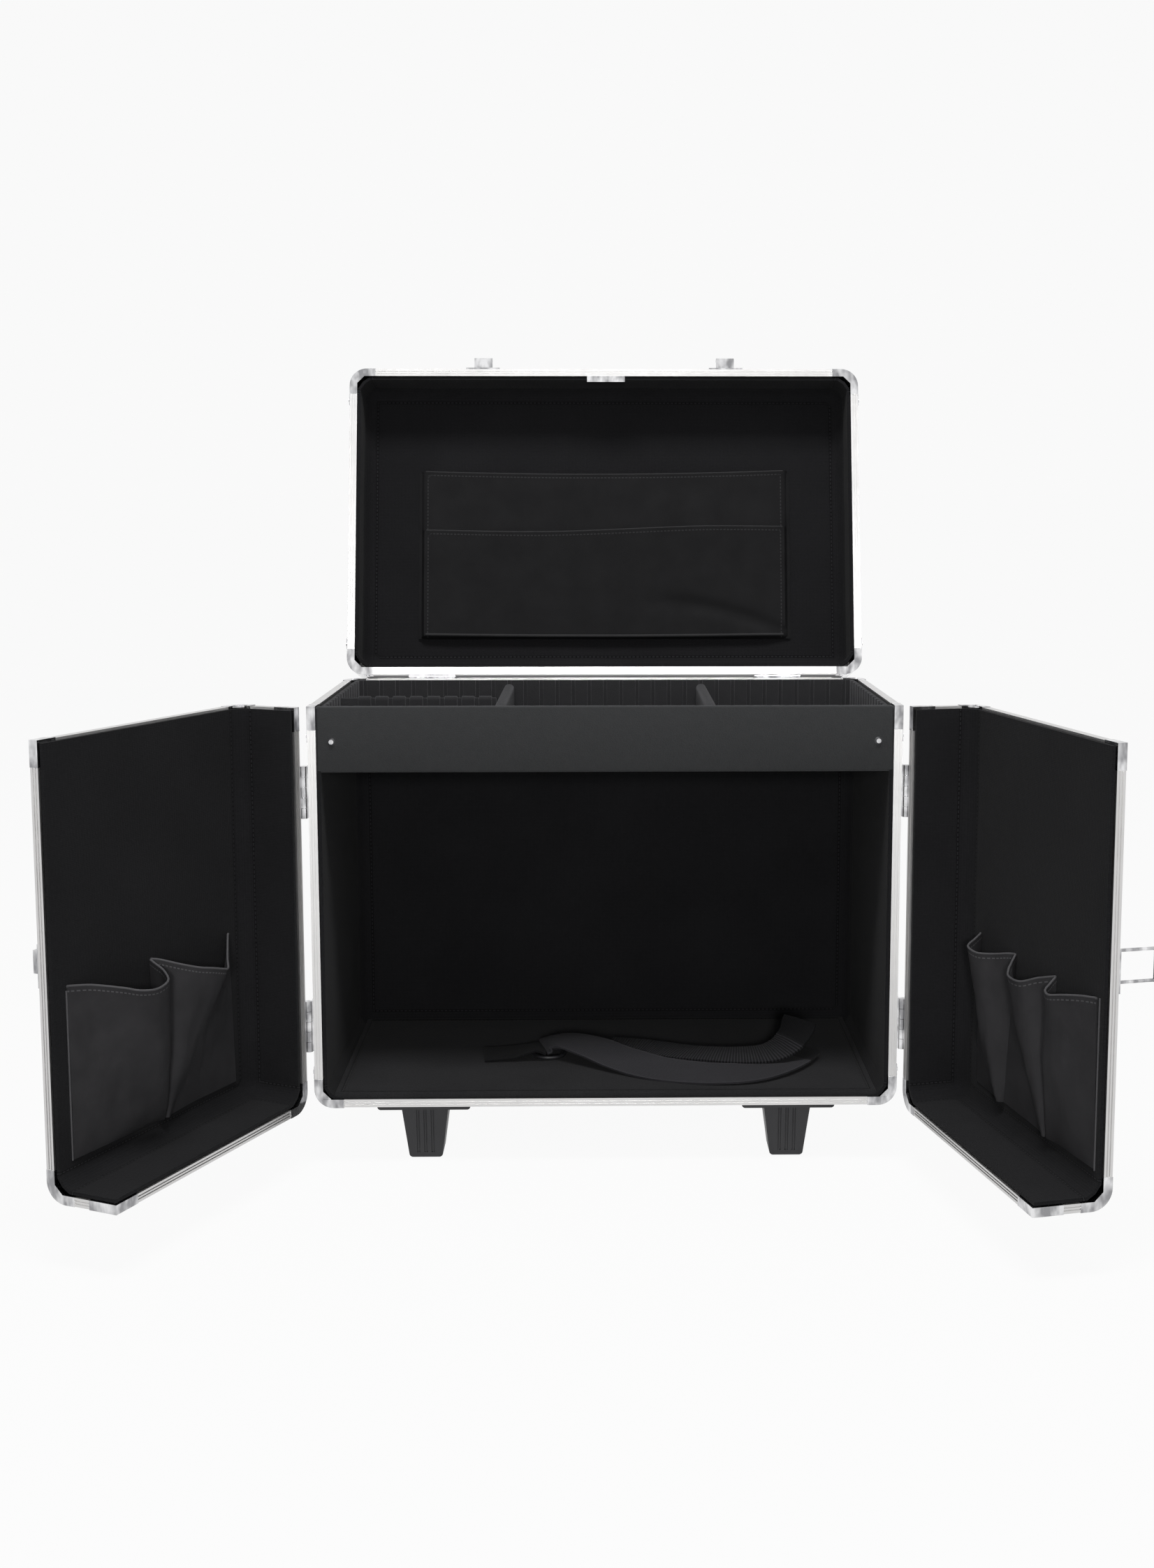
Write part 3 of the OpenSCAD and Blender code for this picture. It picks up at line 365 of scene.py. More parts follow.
def bright_chrome():
    metal = Finish("bright_chrome", (0.62, 0.62, 0.63), 0.12, 1.0)
    smears = metal.grain(0.012, 4)
    dull = metal.grain(0.007, 2, metal.place((1, 1, 0.5)))
    metal.set("Base Color", metal.between((dull - 0.36) * 3.2, (0.30, 0.30, 0.31),
                                          (0.80, 0.80, 0.81)))
    metal.set("Roughness", smears * smears * 0.2 + 0.08)
    metal.bumps(metal.grain(0.006, 2), 0.00005)
    return metal.material


def pebbled_board():
    skin = Finish("pebbled_board", (0.018, 0.018, 0.02), 0.5, Specular_IOR_Level=0.4)
    cells = skin.node("TexVoronoi", {"feature": "F1"}, {
        "Vector": skin.place(), "Scale": 900})
    wear = skin.grain(0.05, 4)
    skin.set("Roughness", wear * 0.2 + 0.4)
    skin.set("Base Color", skin.between(wear, (0.014, 0.014, 0.016), (0.024, 0.024, 0.026)))
    skin.bumps(cells * cells * -1 + skin.grain(0.02) * 0.3, 0.0002)
    return skin.material


def moulded_plastic():
    plastic = Finish("moulded_plastic", (0.016, 0.016, 0.018), 0.46, Specular_IOR_Level=0.45)
    fine = plastic.grain(0.0006, 2)
    plastic.set("Roughness", plastic.grain(0.03) * 0.18 + 0.38)
    plastic.set("Base Color", plastic.between(
        plastic.grain(0.02), (0.012, 0.012, 0.014), (0.022, 0.022, 0.024)))
    plastic.bumps(fine, 0.00008)
    return plastic.material


ALUMINIUM = satin_aluminium()
CHROME = bright_chrome()
BOARD = pebbled_board()
PLASTIC = moulded_plastic()
print("hard finishes:", ALUMINIUM.name, CHROME.name, BOARD.name, PLASTIC.name)

# %% [markdown]
# ## Cloth, felt and leather
# Everything inside is black, yet each stuff answers the light in its own way:
# the lining is a plain weave with a faint sheen and painted shade in its stitched
# grooves, the floor pad is the same cloth painted lighter as painted light, the
# tray felt is paler and quite matt, the pockets are smooth artificial leather with
# sewn edges, painted darker in the lid as painted shade and lighter in the doors as
# painted light, and the strap is webbing, smooth or ribbed.

# %% Soft finishes
THREAD_HALF = 0.00045           # half the width of a sewing thread
GROOVE_HALF = 0.0011            # half the width of the groove that it is sewn in
CLOTH_STITCH, LEATHER_STITCH = 0.0034, 0.003    # from one stitch to the next
CLOTH_PITCH = 0.0012            # from one thread of the weave to the next
RIB_PITCH, WARP_PITCH = 0.0021, 0.0011      # of the webbing, along and across it
STRAP_MM, HARD_EDGE_MM = 34, 1.5            # the webbing's width, and its woven edge


def split(stuff, where):
    """The x, y and z of a vector, each as a value."""
    x = stuff.node("SeparateXYZ", inputs={0: where})
    return x, x.beside(1), x.beside(2)


def own(stuff, attribute):
    """A vector that was written on the points of the piece."""
    return stuff.node("Attribute", {"attribute_name": attribute}, out=1)


def stitches(line, run, pitch):
    """Dashes along a line: line is the distance from it, run the way along it."""
    on_line = line.size().under(THREAD_HALF)
    return on_line * (run * (2 * math.pi / pitch)).wave().over(-0.35)


def lining_cloth(name, dark, light):
    cloth = Finish(name, dark, 0.9, Specular_IOR_Level=0.06, Sheen_Weight=0.03,
                   Sheen_Roughness=0.5)
    where = own(cloth, "cloth")
    x, y, z = split(cloth, where)
    turn = 2 * math.pi / CLOTH_PITCH
    weave = ((x * turn).wave() + (y * turn).wave() + (z * turn).wave()) * 0.17 + 0.5
    patches = cloth.grain(0.06, 4, where)
    fuzz = cloth.grain(0.0016, 3, where)
    line, run, _ = split(cloth, own(cloth, "seam"))
    groove = line.size().under(GROOVE_HALF)
    thread = stitches(line, run, CLOTH_STITCH)
    # The stitched groove darkens the tone: painted shade in the groove.
    tone = (patches * 0.26 + weave * 0.12 + fuzz * 0.22) * (1 - groove * 0.85) + thread * 0.6
    cloth.set("Base Color", cloth.between(tone, dark, light))
    cloth.set("Roughness", patches * 0.1 + 0.85)
    cloth.bumps(weave * 0.5 + fuzz * 0.6 - groove * 1.5 + thread * 1.2, 0.0004, 0.7)
    return cloth.material


def felt(name, dark, light):
    stuff = Finish(name, dark, 0.95, Specular_IOR_Level=0.15, Sheen_Weight=0.25,
                   Sheen_Roughness=0.6, Sheen_Tint=(0.5, 0.5, 0.52, 1))
    fibres = stuff.grain(0.0009, 6, rough=0.7)
    mottled = stuff.grain(0.006, 4)
    stuff.set("Base Color", stuff.between(fibres * 0.7 + mottled * 0.3, dark, light))
    stuff.bumps(fibres + mottled * 0.5, 0.0005, 0.9)
    return stuff.material


def soft_leather(name, dark, light):
    hide = Finish(name, dark, 0.5, Specular_IOR_Level=0.03)
    cells = hide.node("TexVoronoi", {"feature": "DISTANCE_TO_EDGE"}, {
        "Vector": hide.place(), "Scale": 1100})
    creases = hide.grain(0.02, 5)
    line, run, _ = split(hide, own(hide, "seam"))
    thread = stitches(line, run, LEATHER_STITCH)
    hide.set("Roughness", creases * 0.14 + 0.45)
    hide.set("Base Color", hide.between(creases * 0.3 + thread * 0.7, dark, light))
    hide.bumps(cells * 0.4 + creases * 0.8 + thread * 1.2, 0.0003, 0.6)
    return hide.material


def ribbed_webbing():
    """Smooth or ribbed along its length, as the piece's own values say."""
    band = Finish("ribbed_webbing", (0.010, 0.010, 0.012), 0.7, Specular_IOR_Level=0.08,
                  Sheen_Weight=0.04, Sheen_Roughness=0.5)
    run, across, _ = split(band, band.flat_place())
    patch, rib, _ = split(band, own(band, "weave"))
    ridges = (run * (2 * math.pi / RIB_PITCH)).wave() * 0.5 + 0.5
    warp = (across * (2 * math.pi / WARP_PITCH)).wave() * 0.5 + 0.5
    fuzz = band.grain(0.0009, 3)
    ribbed = ridges * rib * (1 - patch)
    edge = across.size().over((STRAP_MM / 2 - HARD_EDGE_MM) * MM)
    knit = warp * 0.2 * (1 - patch) + fuzz * 0.5 + edge * 0.15 + 0.1
    knit = knit * (1 - rib * (1 - patch)) + ribbed * 0.5
    band.set("Base Color", band.between(knit - patch * 0.6, (0.003, 0.003, 0.0035),
                                        (0.046, 0.045, 0.050)))
    band.bumps(ribbed * 1.5 + warp * 0.3 + fuzz * 0.4 - edge * 0.5, 0.0004)
    return band.material


LINING = lining_cloth("lining_cloth", (0.003, 0.003, 0.0034), (0.026, 0.026, 0.028))
# The floor pad is the lining cloth painted lighter: painted light.
LIT_PAD_CLOTH = lining_cloth("pad_cloth_painted_light", (0.005, 0.005, 0.0054), (0.043, 0.043, 0.0455))
TRAY_FELT = felt("tray_felt", (0.016, 0.017, 0.0175), (0.034, 0.035, 0.036))
DIVIDER_FELT = felt("divider_felt", (0.006, 0.006, 0.007), (0.02, 0.02, 0.021))
# One leather in two tones: the doors' copy is painted lighter (painted light), the lid's copy
# darker (painted shade).
LIT_LEATHER = soft_leather("door_leather_painted_light", (0.022, 0.0215, 0.0228), (0.086, 0.085, 0.089))
SHADED_LID_LEATHER = soft_leather("lid_leather_painted_shade", (0.007, 0.007, 0.0075), (0.032, 0.032, 0.033))
WEBBING = ribbed_webbing()
print("soft finishes:", LINING.name, TRAY_FELT.name, LIT_LEATHER.name, WEBBING.name)

# %% [markdown]
# ## Dress the CAD pieces
# Each CAD piece whose shape is already right keeps it, and only its material
# slots are filled. The name of the node says what it is made of.

# %% Fill the material slots
MADE_OF = [
    ("rails", ALUMINIUM), ("caps", CHROME), ("rivets", CHROME), ("leaves", CHROME),
    ("latch", CHROME), ("keeper", CHROME), ("screws", CHROME), ("tab", CHROME),
    ("panels", BOARD), ("feet", PLASTIC), ("handle", PLASTIC), ("ring", PLASTIC),
    ("lining", LINING), ("pocket", LIT_LEATHER), ("tray", TRAY_FELT),
    ("divider", DIVIDER_FELT), ("strap", WEBBING)]
SPECIAL = {"tray_screws": CHROME, "tray_slot_liners": DIVIDER_FELT, "strap_ring": PLASTIC}


def dress(node):
    """Fill the first material slot of a CAD piece; its mesh stays as it is."""
    finish = SPECIAL.get(node) or next(m for word, m in MADE_OF if word in node)
    frame["nodes"][node].material_slots[0].material = finish
    return finish.name


for node_name in frame["nodes"]:
    dress(node_name)
print(len(frame["nodes"]), "CAD pieces dressed")

# %% [markdown]
# ## Where a closed piece opens to
# The lid and the doors are easiest to think of closed, when everything in them
# is square to the case. So their soft pieces are drawn closed, and then turned
# about the hinge by the angle that the joint stands open.

# %% Sizes taken from the frame
JOINTS = {joint["name"]: joint for joint in frame["joints"]}
rails_low, rails_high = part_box("body_rails")
HALF_W, BODY_D = rails_high[0], rails_high[1]
Z_LOW, Z_RIM = rails_low[2], rails_high[2]
WALL, EDGE, SEAM = 6 * MM, 1.6 * MM, 0.3 * MM
DOOR_D, LID_H, LINING_T = 55 * MM, 48 * MM, 3 * MM
IN_W = HALF_W - WALL
DOOR_FACE = -DOOR_D + WALL + LINING_T       # lining face of a closed door
LID_LOW = Z_RIM + 2 * SEAM
LID_FACE = LID_LOW + LID_H - WALL - LINING_T
FLOOR_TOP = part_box("floor_lining")[1][2]
print("half width", HALF_W, "body depth", BODY_D, "rim at", Z_RIM, "floor at", FLOOR_TOP)


def opened(name):
    """The turn that takes a piece drawn closed to where it stands open."""
    joint = JOINTS[name]
    pin = Matrix.Translation(Vector(joint["pos_m"]))
    turn = Matrix.Rotation(-math.radians(joint["range_deg"][1]), 4, Vector(joint["axis"]))
    return pin @ turn @ pin.inverted()


STANDS = {"case_body": Matrix.Identity(4), "lid": opened("lid_hinge"),
          "left_door": opened("left_door_hinge"), "right_door": opened("right_door_hinge")}
MIRROR = Matrix.Scale(-1, 4, (1, 0, 0))

# %% [markdown]
# Five helpers begin or finish a soft piece. One starts it as a cube between two
# corners, one gives it thickness, one turns its faces outwards, one writes marks
# on its points for the material to read, and one opens it with its body and
# hands it over to the frame.

# %% Helpers for a piece


def start_cube(name, low, high):
    """A cube between two corners, left in edit mode."""
    deselect()
    middle = [(a + b) / 2 for a, b in zip(low, high)]
    bpy.ops.mesh.primitive_cube_add(size=1, location=middle)
    box = named(name)
    box.scale = [b - a for a, b in zip(low, high)]
    bpy.ops.object.transform_apply(location=True, scale=True)
    bpy.ops.object.mode_set(mode="EDIT")
    return box


def give_thickness(piece, thick, offset=-1):
    pick(piece)
    solid = piece.modifiers.new("thickness", "SOLIDIFY")
    solid.thickness = thick
    solid.offset = offset
    bpy.ops.object.modifier_apply(modifier=solid.name)


def face_outwards(piece):
    pick(piece)
    bpy.ops.object.mode_set(mode="EDIT")
    bpy.ops.mesh.select_all(action="SELECT")
    bpy.ops.mesh.remove_doubles(threshold=MERGE / 2)
    bpy.ops.mesh.normals_make_consistent(inside=False)
    bpy.ops.object.mode_set(mode="OBJECT")


def settle(piece, body, finish, mirrored=False):
    """Open a piece with its body, smooth it, and hand it over."""
    matrix = STANDS[body] @ (MIRROR if mirrored else Matrix.Identity(4))
    piece.data.transform(matrix)
    if matrix.determinant() < 0:
        piece.data.flip_normals()
    pick(piece)
    bpy.ops.object.shade_smooth_by_angle(angle=SMOOTH)
    piece.data.materials.clear()
    piece.data.materials.append(finish)
    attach(piece, body)
    return piece


def note(piece, name, values):
    """Write one vector to every point, for the material to read."""
    layer = piece.data.attributes.get(name) or piece.data.attributes.new(
        name, "FLOAT_VECTOR", "POINT")
    layer.data.foreach_set("vector", [part for value in values for part in value])


print("piece helpers ready")

# %% [markdown]
# ## Lining cloth
# Cloth over thin foam is glued into each part of the case. It goes round the
# inner corners in a soft curve, is stitched a finger's width from them, and has
# crept into low wrinkles. Each lining is one open box: a cube without the faces
# that stay open, its inner edges bevelled, cut into a fine grid by bisecting it,
# and then moved point by point. A plain box would show hard corners instead.

# %% Open box of cloth


def open_box(name, low, high, open_sides, round_by):
    """A box with rounded edges, seen from inside; open_sides are normals to leave out."""
    box = start_cube(name, low, high)
    bpy.ops.mesh.select_mode(type="FACE")
    bpy.ops.mesh.select_all(action="DESELECT")
    mesh = bmesh.from_edit_mesh(box.data)
    mesh.normal_update()
    for face in mesh.faces:
        face.select = any(face.normal.dot(Vector(side)) > 0.9 for side in open_sides)
    bmesh.update_edit_mesh(box.data)
    bpy.ops.mesh.delete(type="FACE")
    bpy.ops.mesh.select_mode(type="EDGE")
    bpy.ops.mesh.select_all(action="DESELECT")
    mesh = bmesh.from_edit_mesh(box.data)
    for edge in mesh.edges:
        edge.select = len(edge.link_faces) == 2
    bmesh.update_edit_mesh(box.data)
    bpy.ops.mesh.bevel(offset=round_by, segments=2, profile=0.35, affect="EDGES")
    bpy.ops.object.mode_set(mode="OBJECT")
    return box


def grid_cuts(box, low, high, step, keep):
    """Bisect the box at regular places; keep is how far from an edge cuts start."""
    pick(box)
    bpy.ops.object.mode_set(mode="EDIT")
    for axis in range(3):
        length = high[axis] - low[axis] - 2 * keep
        cuts = max(1, round(length / step))
        for i in range(cuts + 1):
            place, normal = [0, 0, 0], [0, 0, 0]
            place[axis] = low[axis] + keep + length * i / cuts
            normal[axis] = 1
            bpy.ops.mesh.select_all(action="SELECT")
            bpy.ops.mesh.bisect(plane_co=place, plane_no=normal)
    bpy.ops.mesh.select_all(action="SELECT")
    bpy.ops.mesh.remove_doubles(threshold=MERGE)
    bpy.ops.mesh.normals_make_consistent(inside=True)
    bpy.ops.object.mode_set(mode="OBJECT")


SEAM_IN = 10 * MM                   # stitched line, from the inner corner


def lining(name, low, high, open_sides, seed, round_by=8 * MM, step=5 * MM, depth=2.4 * MM):
    """Cloth of one case part, drawn closed, with its face where the CAD face is."""
    box = open_box(name, low, high, open_sides, round_by)
    grid_cuts(box, low, high, step, round_by)
    sheet = box.data
    open_axes = {(i, side[i] > 0) for side in open_sides for i in range(3) if side[i]}
    normals = [vertex.normal.copy() for vertex in sheet.vertices]
    seams, cloth = [], []
    for vertex, normal in zip(sheet.vertices, normals):
        co = vertex.co.copy()
        flat = max(range(3), key=lambda i: abs(normal[i]))
        gaps = []
        for axis in range(3):
            if axis == flat:
                continue
            for top, gap in ((False, co[axis] - low[axis]), (True, high[axis] - co[axis])):
                if (axis, top) not in open_axes:
                    gaps.append((gap, axis))
        border = min([high[a] - co[a] for a, top in open_axes if top]
                     + [co[a] - low[a] for a, top in open_axes if not top] + [1])
        near, beside = min(gaps or [(1, 0)])
        seams.append((near - SEAM_IN, co[3 - flat - beside], 0))
        cloth.append(co)
        spot = co * 17 + Vector((seed, seed, seed))
        sag = noise.noise(spot) * 0.5 + noise.noise(co * 45 + spot) * 0.35 * math.exp(
            -max(near - 0.004, 0) / 0.035)
        welt = math.exp(-((near - SEAM_IN) / (1.3 * MM)) ** 2)
        vertex.co += normal * min(border / 0.012, 1) * (sag - 0.9 * welt) * MM
    note(box, "seam", seams)
    note(box, "cloth", cloth)
    give_thickness(box, depth)
    return box


print("lining helper ready")

# %% Cloth in the body, the doors and the lid
FLOOR_LOW = Z_LOW + WALL


def line_everything():
    """Four open boxes of cloth, drawn closed and then opened."""
    made = []
    body = lining("body_cloth", (-IN_W + LINING_T, EDGE, FLOOR_LOW + 0.3 * MM),
                  (IN_W - LINING_T, BODY_D - WALL - LINING_T, Z_RIM - EDGE),
                  [(0, -1, 0), (0, 0, 1)], 3.1)
    made.append((body, "case_body", False, ["back_lining", "side_linings"]))
    for side in ("left", "right"):
        door = lining(side + "_door_cloth", (-IN_W + LINING_T, DOOR_FACE, FLOOR_LOW + LINING_T),
                      (-SEAM - EDGE, -2 * SEAM - EDGE, Z_RIM - EDGE),
                      [(1, 0, 0), (0, 1, 0), (0, 0, 1)], 7.7 if side == "left" else 12.3)
        made.append((door, side + "_door", side == "right", [side + "_door_lining"]))
    lid = lining("lid_cloth", (-IN_W + LINING_T, DOOR_FACE, LID_LOW + EDGE),
                 (IN_W - LINING_T, BODY_D - WALL - LINING_T, LID_FACE),
                 [(0, 0, -1)], 20.9)
    made.append((lid, "lid", False, ["lid_lining"]))
    for cloth, body_name, mirrored, nodes in made:
        settle(cloth, body_name, LINING, mirrored)
        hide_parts(*nodes)
        print(cloth.name, len(cloth.data.polygons), "faces")


line_everything()

# %% [markdown]
# The floor of the lower compartment is a separate padded board, a little
# narrower than the case, with a stitched groove inside its rolled edge.

# %% Padded floor


def padded_board(name, low, high, round_by, step, seed, groove_in):
    """A board with rounded edges, a groove all round its top and low waves inside it."""
    board = start_cube(name, low, high)
    bpy.ops.mesh.select_all(action="SELECT")
    bpy.ops.mesh.bevel(offset=round_by, segments=3, profile=0.5, affect="EDGES")
    bpy.ops.object.mode_set(mode="OBJECT")
    pick(board)
    bpy.ops.object.mode_set(mode="EDIT")
    for axis in (0, 1):
        inset = groove_in - 2 * MM
        places = [low[axis] + inset, low[axis] + groove_in, low[axis] + groove_in + 2 * MM]
        places += [low[axis] + high[axis] - place for place in places]
        length = high[axis] - low[axis] - 2 * groove_in - 6 * MM
        cuts = round(length / step)
        places += [low[axis] + groove_in + 3 * MM + length * i / cuts for i in range(cuts + 1)]
        for spot in places:
            place, normal = [0, 0, 0], [0, 0, 0]
            place[axis], normal[axis] = spot, 1
            bpy.ops.mesh.select_all(action="SELECT")
            bpy.ops.mesh.bisect(plane_co=place, plane_no=normal)
    bpy.ops.object.mode_set(mode="OBJECT")
    cloth, seams = [], []
    for vertex in board.data.vertices:
        co = vertex.co.copy()
        gaps = [(gap, 1 - a) for a in (0, 1) for gap in (co[a] - low[a], high[a] - co[a])]
        near, along = min(gaps)
        cloth.append(co)
        seams.append((near - groove_in, co[along], 0))
        if co.z > high[2] - 0.2 * MM:
            groove = math.exp(-((near - groove_in) / (1.2 * MM)) ** 2)
            swell = min(near / 0.03, 1)
            sag = swell * noise.noise(co * 14 + Vector((seed, 0, 0)))
            vertex.co.z += (-0.9 * groove + sag) * MM
            vertex.co.z += 0.5 * MM * (near < groove_in) * (1 - groove)
    note(board, "seam", seams)
    note(board, "cloth", cloth)
    face_outwards(board)
    return board


floor_low, floor_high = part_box("floor_lining")
floor_pad = padded_board("floor_pad", floor_low, floor_high, 1.2 * MM, 5 * MM, 4.4, 5 * MM)
# The pad's cloth is painted lighter than the lining: painted light on the floor.
settle(floor_pad, "case_body", LIT_PAD_CLOTH)
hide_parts("floor_lining")
print("floor pad", len(floor_pad.data.polygons), "faces")

# %% [markdown]
# ## Tray felt and dividers
# The tray's front board, floor, slotted liners and dividers are boards wrapped
# in felt, so every edge is a little round. Their CAD shapes are right apart from
# that. A copy of each is merged into one skin, and its edges are bevelled. The
# moulded feet are rounded in the same way.

# %% Round the edges of a copy


def wrap(node, width, finish):
    """A copy of a CAD piece with rounded edges, which then stands for it."""
    deselect()
    copy = bpy.data.objects.new(node + "_wrapped", frame["nodes"][node].data.copy())
    bpy.context.scene.collection.objects.link(copy)
    copy.data.name = copy.name
    pick(copy)
    bpy.ops.object.mode_set(mode="EDIT")
    bpy.ops.mesh.select_all(action="SELECT")
    bpy.ops.mesh.remove_doubles(threshold=MERGE)
    bpy.ops.mesh.dissolve_limited(angle_limit=math.radians(1))
    bpy.ops.mesh.normals_make_consistent(inside=False)
    bpy.ops.object.mode_set(mode="OBJECT")
    round_off = copy.modifiers.new("round", "BEVEL")
    round_off.width = width
    round_off.segments = 2
    round_off.limit_method = "ANGLE"
    round_off.angle_limit = math.radians(40)
    bpy.ops.object.modifier_apply(modifier=round_off.name)
    bpy.ops.object.shade_smooth_by_angle(angle=SMOOTH)
    copy.data.materials.clear()
    copy.data.materials.append(finish)
    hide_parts(node)
    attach(copy, "case_body")
    print(copy.name, len(copy.data.polygons), "faces")


wrap("tray_front_panel", 1.3 * MM, TRAY_FELT)
wrap("tray_floor", 0.8 * MM, TRAY_FELT)
wrap("tray_slot_liners", 0.45 * MM, DIVIDER_FELT)
wrap("long_divider", 0.5 * MM, DIVIDER_FELT)
wrap("cross_dividers", 0.6 * MM, DIVIDER_FELT)
wrap("front_feet", 1.1 * MM, PLASTIC)
wrap("rear_feet", 1.1 * MM, PLASTIC)

# %% [markdown]
# ## Leather sheets
# A pocket is a sheet of artificial leather, sewn down along its sides and foot,
# whose mouth stands open. It is drawn as a set of ribs: each rib joins a point
# of the mouth to a point of the foot, and a smooth curve runs through the ribs.
# Where ribs meet at the foot, the leather is gathered into the seam.

# %% Sheet between ribs
FINE = 400                      # short steps along a curve, to measure it
BAY_TALL = 110 * MM             # a door pocket, from its mouth to its foot


def along(points, t):
    """A smooth curve through points, for t from 0 to 1."""
    spans = len(points) - 1
    i = min(int(t * spans), spans - 1)
    f = t * spans - i
    a, b = Vector(points[max(i - 1, 0)]), Vector(points[i])
    c, d = Vector(points[i + 1]), Vector(points[min(i + 2, spans)])
    return 0.5 * ((2 * b) + (c - a) * f + (2 * a - 5 * b + 4 * c - d) * f * f
                  + (3 * b - a - 3 * c + d) * f ** 3)


def even(points, count):
    """Values of t that divide the curve into count equal lengths, and its length."""
    fine = [along(points, i / FINE) for i in range(FINE + 1)]
    runs = [0.0]
    for a, b in zip(fine, fine[1:]):
        runs.append(runs[-1] + (b - a).length)
    places, j = [], 0
    for i in range(count + 1):
        want = runs[-1] * i / count
        while j < FINE - 1 and runs[j + 1] < want:
            j += 1
        share = (want - runs[j]) / max(runs[j + 1] - runs[j], 1e-9)
        places.append((j + share) / FINE)
    return places, runs[-1]


def sheet_grid(name, columns, rows):
    """A grid whose points are listed row by row from the foot to the mouth."""
    deselect()
    bpy.ops.mesh.primitive_grid_add(x_subdivisions=columns, y_subdivisions=rows, size=1)
    sheet = named(name)
    order = sorted(sheet.data.vertices, key=lambda v: (round(v.co.y, 5), round(v.co.x, 5)))
    return sheet, order


def leather_bay(name, ribs, spot, belly=0.7, seed=0.0, thick=1.3 * MM, columns=64, rows=44):
    """ribs are pairs (mouth, foot), each (distance from hinge, out of lining, height)."""
    sheet, order = sheet_grid(name, columns, rows)
    mouth = [rib[0] for rib in ribs]
    foot = [rib[1] for rib in ribs]
    places, length = even(mouth, columns)
    stitched = [None] * len(order)
    for j in range(rows + 1):
        t = j / rows
        for i in range(columns + 1):
            top, low = along(mouth, places[i]), along(foot, places[i])
            swell = t ** belly
            point = Vector((low.x + (top.x - low.x) * t ** 0.95,
                            low.y + (top.y - low.y) * swell,
                            low.z + (top.z - low.z) * t))
            # broad creases and fine ones, deepest half way up, none where it is sewn down
            crease = noise.noise(Vector((point.x * 0.035 + seed, point.z * 0.02, seed)))
            fine = noise.noise(Vector((point.x * 0.12, point.z * 0.05 + seed, seed)))
            middle = math.sin(math.pi * min(t * 1.05, 1)) ** 0.7
            crumple = min(point.y / 6, 1) * middle * (2.2 * crease + 0.7 * fine)
            point.y = max(0.25, point.y + crumple)
            vertex = order[j * (columns + 1) + i]
            vertex.co = point
            stitched[vertex.index] = ((1 - t) * BAY_TALL - 3.2 * MM, places[i] * length * MM, 0)
    note(sheet, "seam", stitched)
    sheet.data.transform(spot)
    sheet.data.flip_normals()
    give_thickness(sheet, thick, 0)
    return sheet


def hanging_roll(name, points, radius, spot):
    """A round bead along points, such as a hem, a piping or an edge tape."""
    data = bpy.data.curves.new(name, "CURVE")
    data.dimensions = "3D"
    data.bevel_depth = radius * MM
    data.bevel_resolution = 3
    data.use_fill_caps = True
    line = data.splines.new("POLY")
    line.points.add(len(points) - 1)
    for target, point in zip(line.points, points):
        target.co = (*(spot @ Vector(point)), 1)
    bead = bpy.data.objects.new(name, data)
    bpy.context.scene.collection.objects.link(bead)
    pick(bead)
    bpy.ops.object.convert(target="MESH")
    bead = bpy.context.object
    bead.data.name = name
    return bead


print("sheet helpers ready")

# %% [markdown]
# ## Pockets of the doors
# The left door has a wide bay and a narrow one, the right door three. Each bay
# is listed from one side seam to the other, as a mouth point and a foot point
# in millimetres.

# %% Door pockets
# a door's lining, closed: x from the hinge edge, y out of the lining, z above the underside
DOOR_SPOT = Matrix.Translation((-HALF_W, DOOR_FACE, Z_LOW)) @ Matrix.Scale(MM, 4)

WIDE_BAY = [((200.6, 0.5, 139), (200, 0.5, 24.5)), ((184, 4, 136), (183, 1.0, 24.4)),
            ((173, 10, 133), (167, 1.5, 24.4)), ((165, 18, 130.5), (152, 1.5, 24.3)),
            ((158, 25, 128), (138, 1.5, 24.2)), ((146, 28.5, 126.5), (125, 2.2, 24.2)),
            ((131, 25.5, 128), (116.5, 3.8, 24.2)), ((122, 15, 131.5), (114.5, 5, 24.2)),
            ((119, 5, 135), (113.2, 3, 24.2)), ((117.5, 0.4, 136.5), (112.4, 0.4, 24.2))]
NARROW_BAY = [((117.5, 0.4, 137), (112.4, 0.4, 24.2)), ((112, 5, 135.5), (111.9, 3, 24.2)),
              ((106, 12, 132.5), (111.2, 4.8, 24.2)), ((99, 18, 129.5), (110.6, 5.6, 24.2)),
              ((90.5, 22, 126.5), (109.8, 5.8, 24.2)), ((79.6, 24.5, 123.7), (108.6, 5.2, 24.2)),
              ((70, 25.5, 121), (106.5, 4, 24.2)), ((62.8, 24, 119.6), (100, 2.8, 24.2)),
              ((55, 18, 123.5), (76, 0.8, 24)), ((43, 9.5, 129.5), (48, 0.6, 23.6)),
              ((30, 0.5, 134.7), (25.5, 0.5, 23.4))]
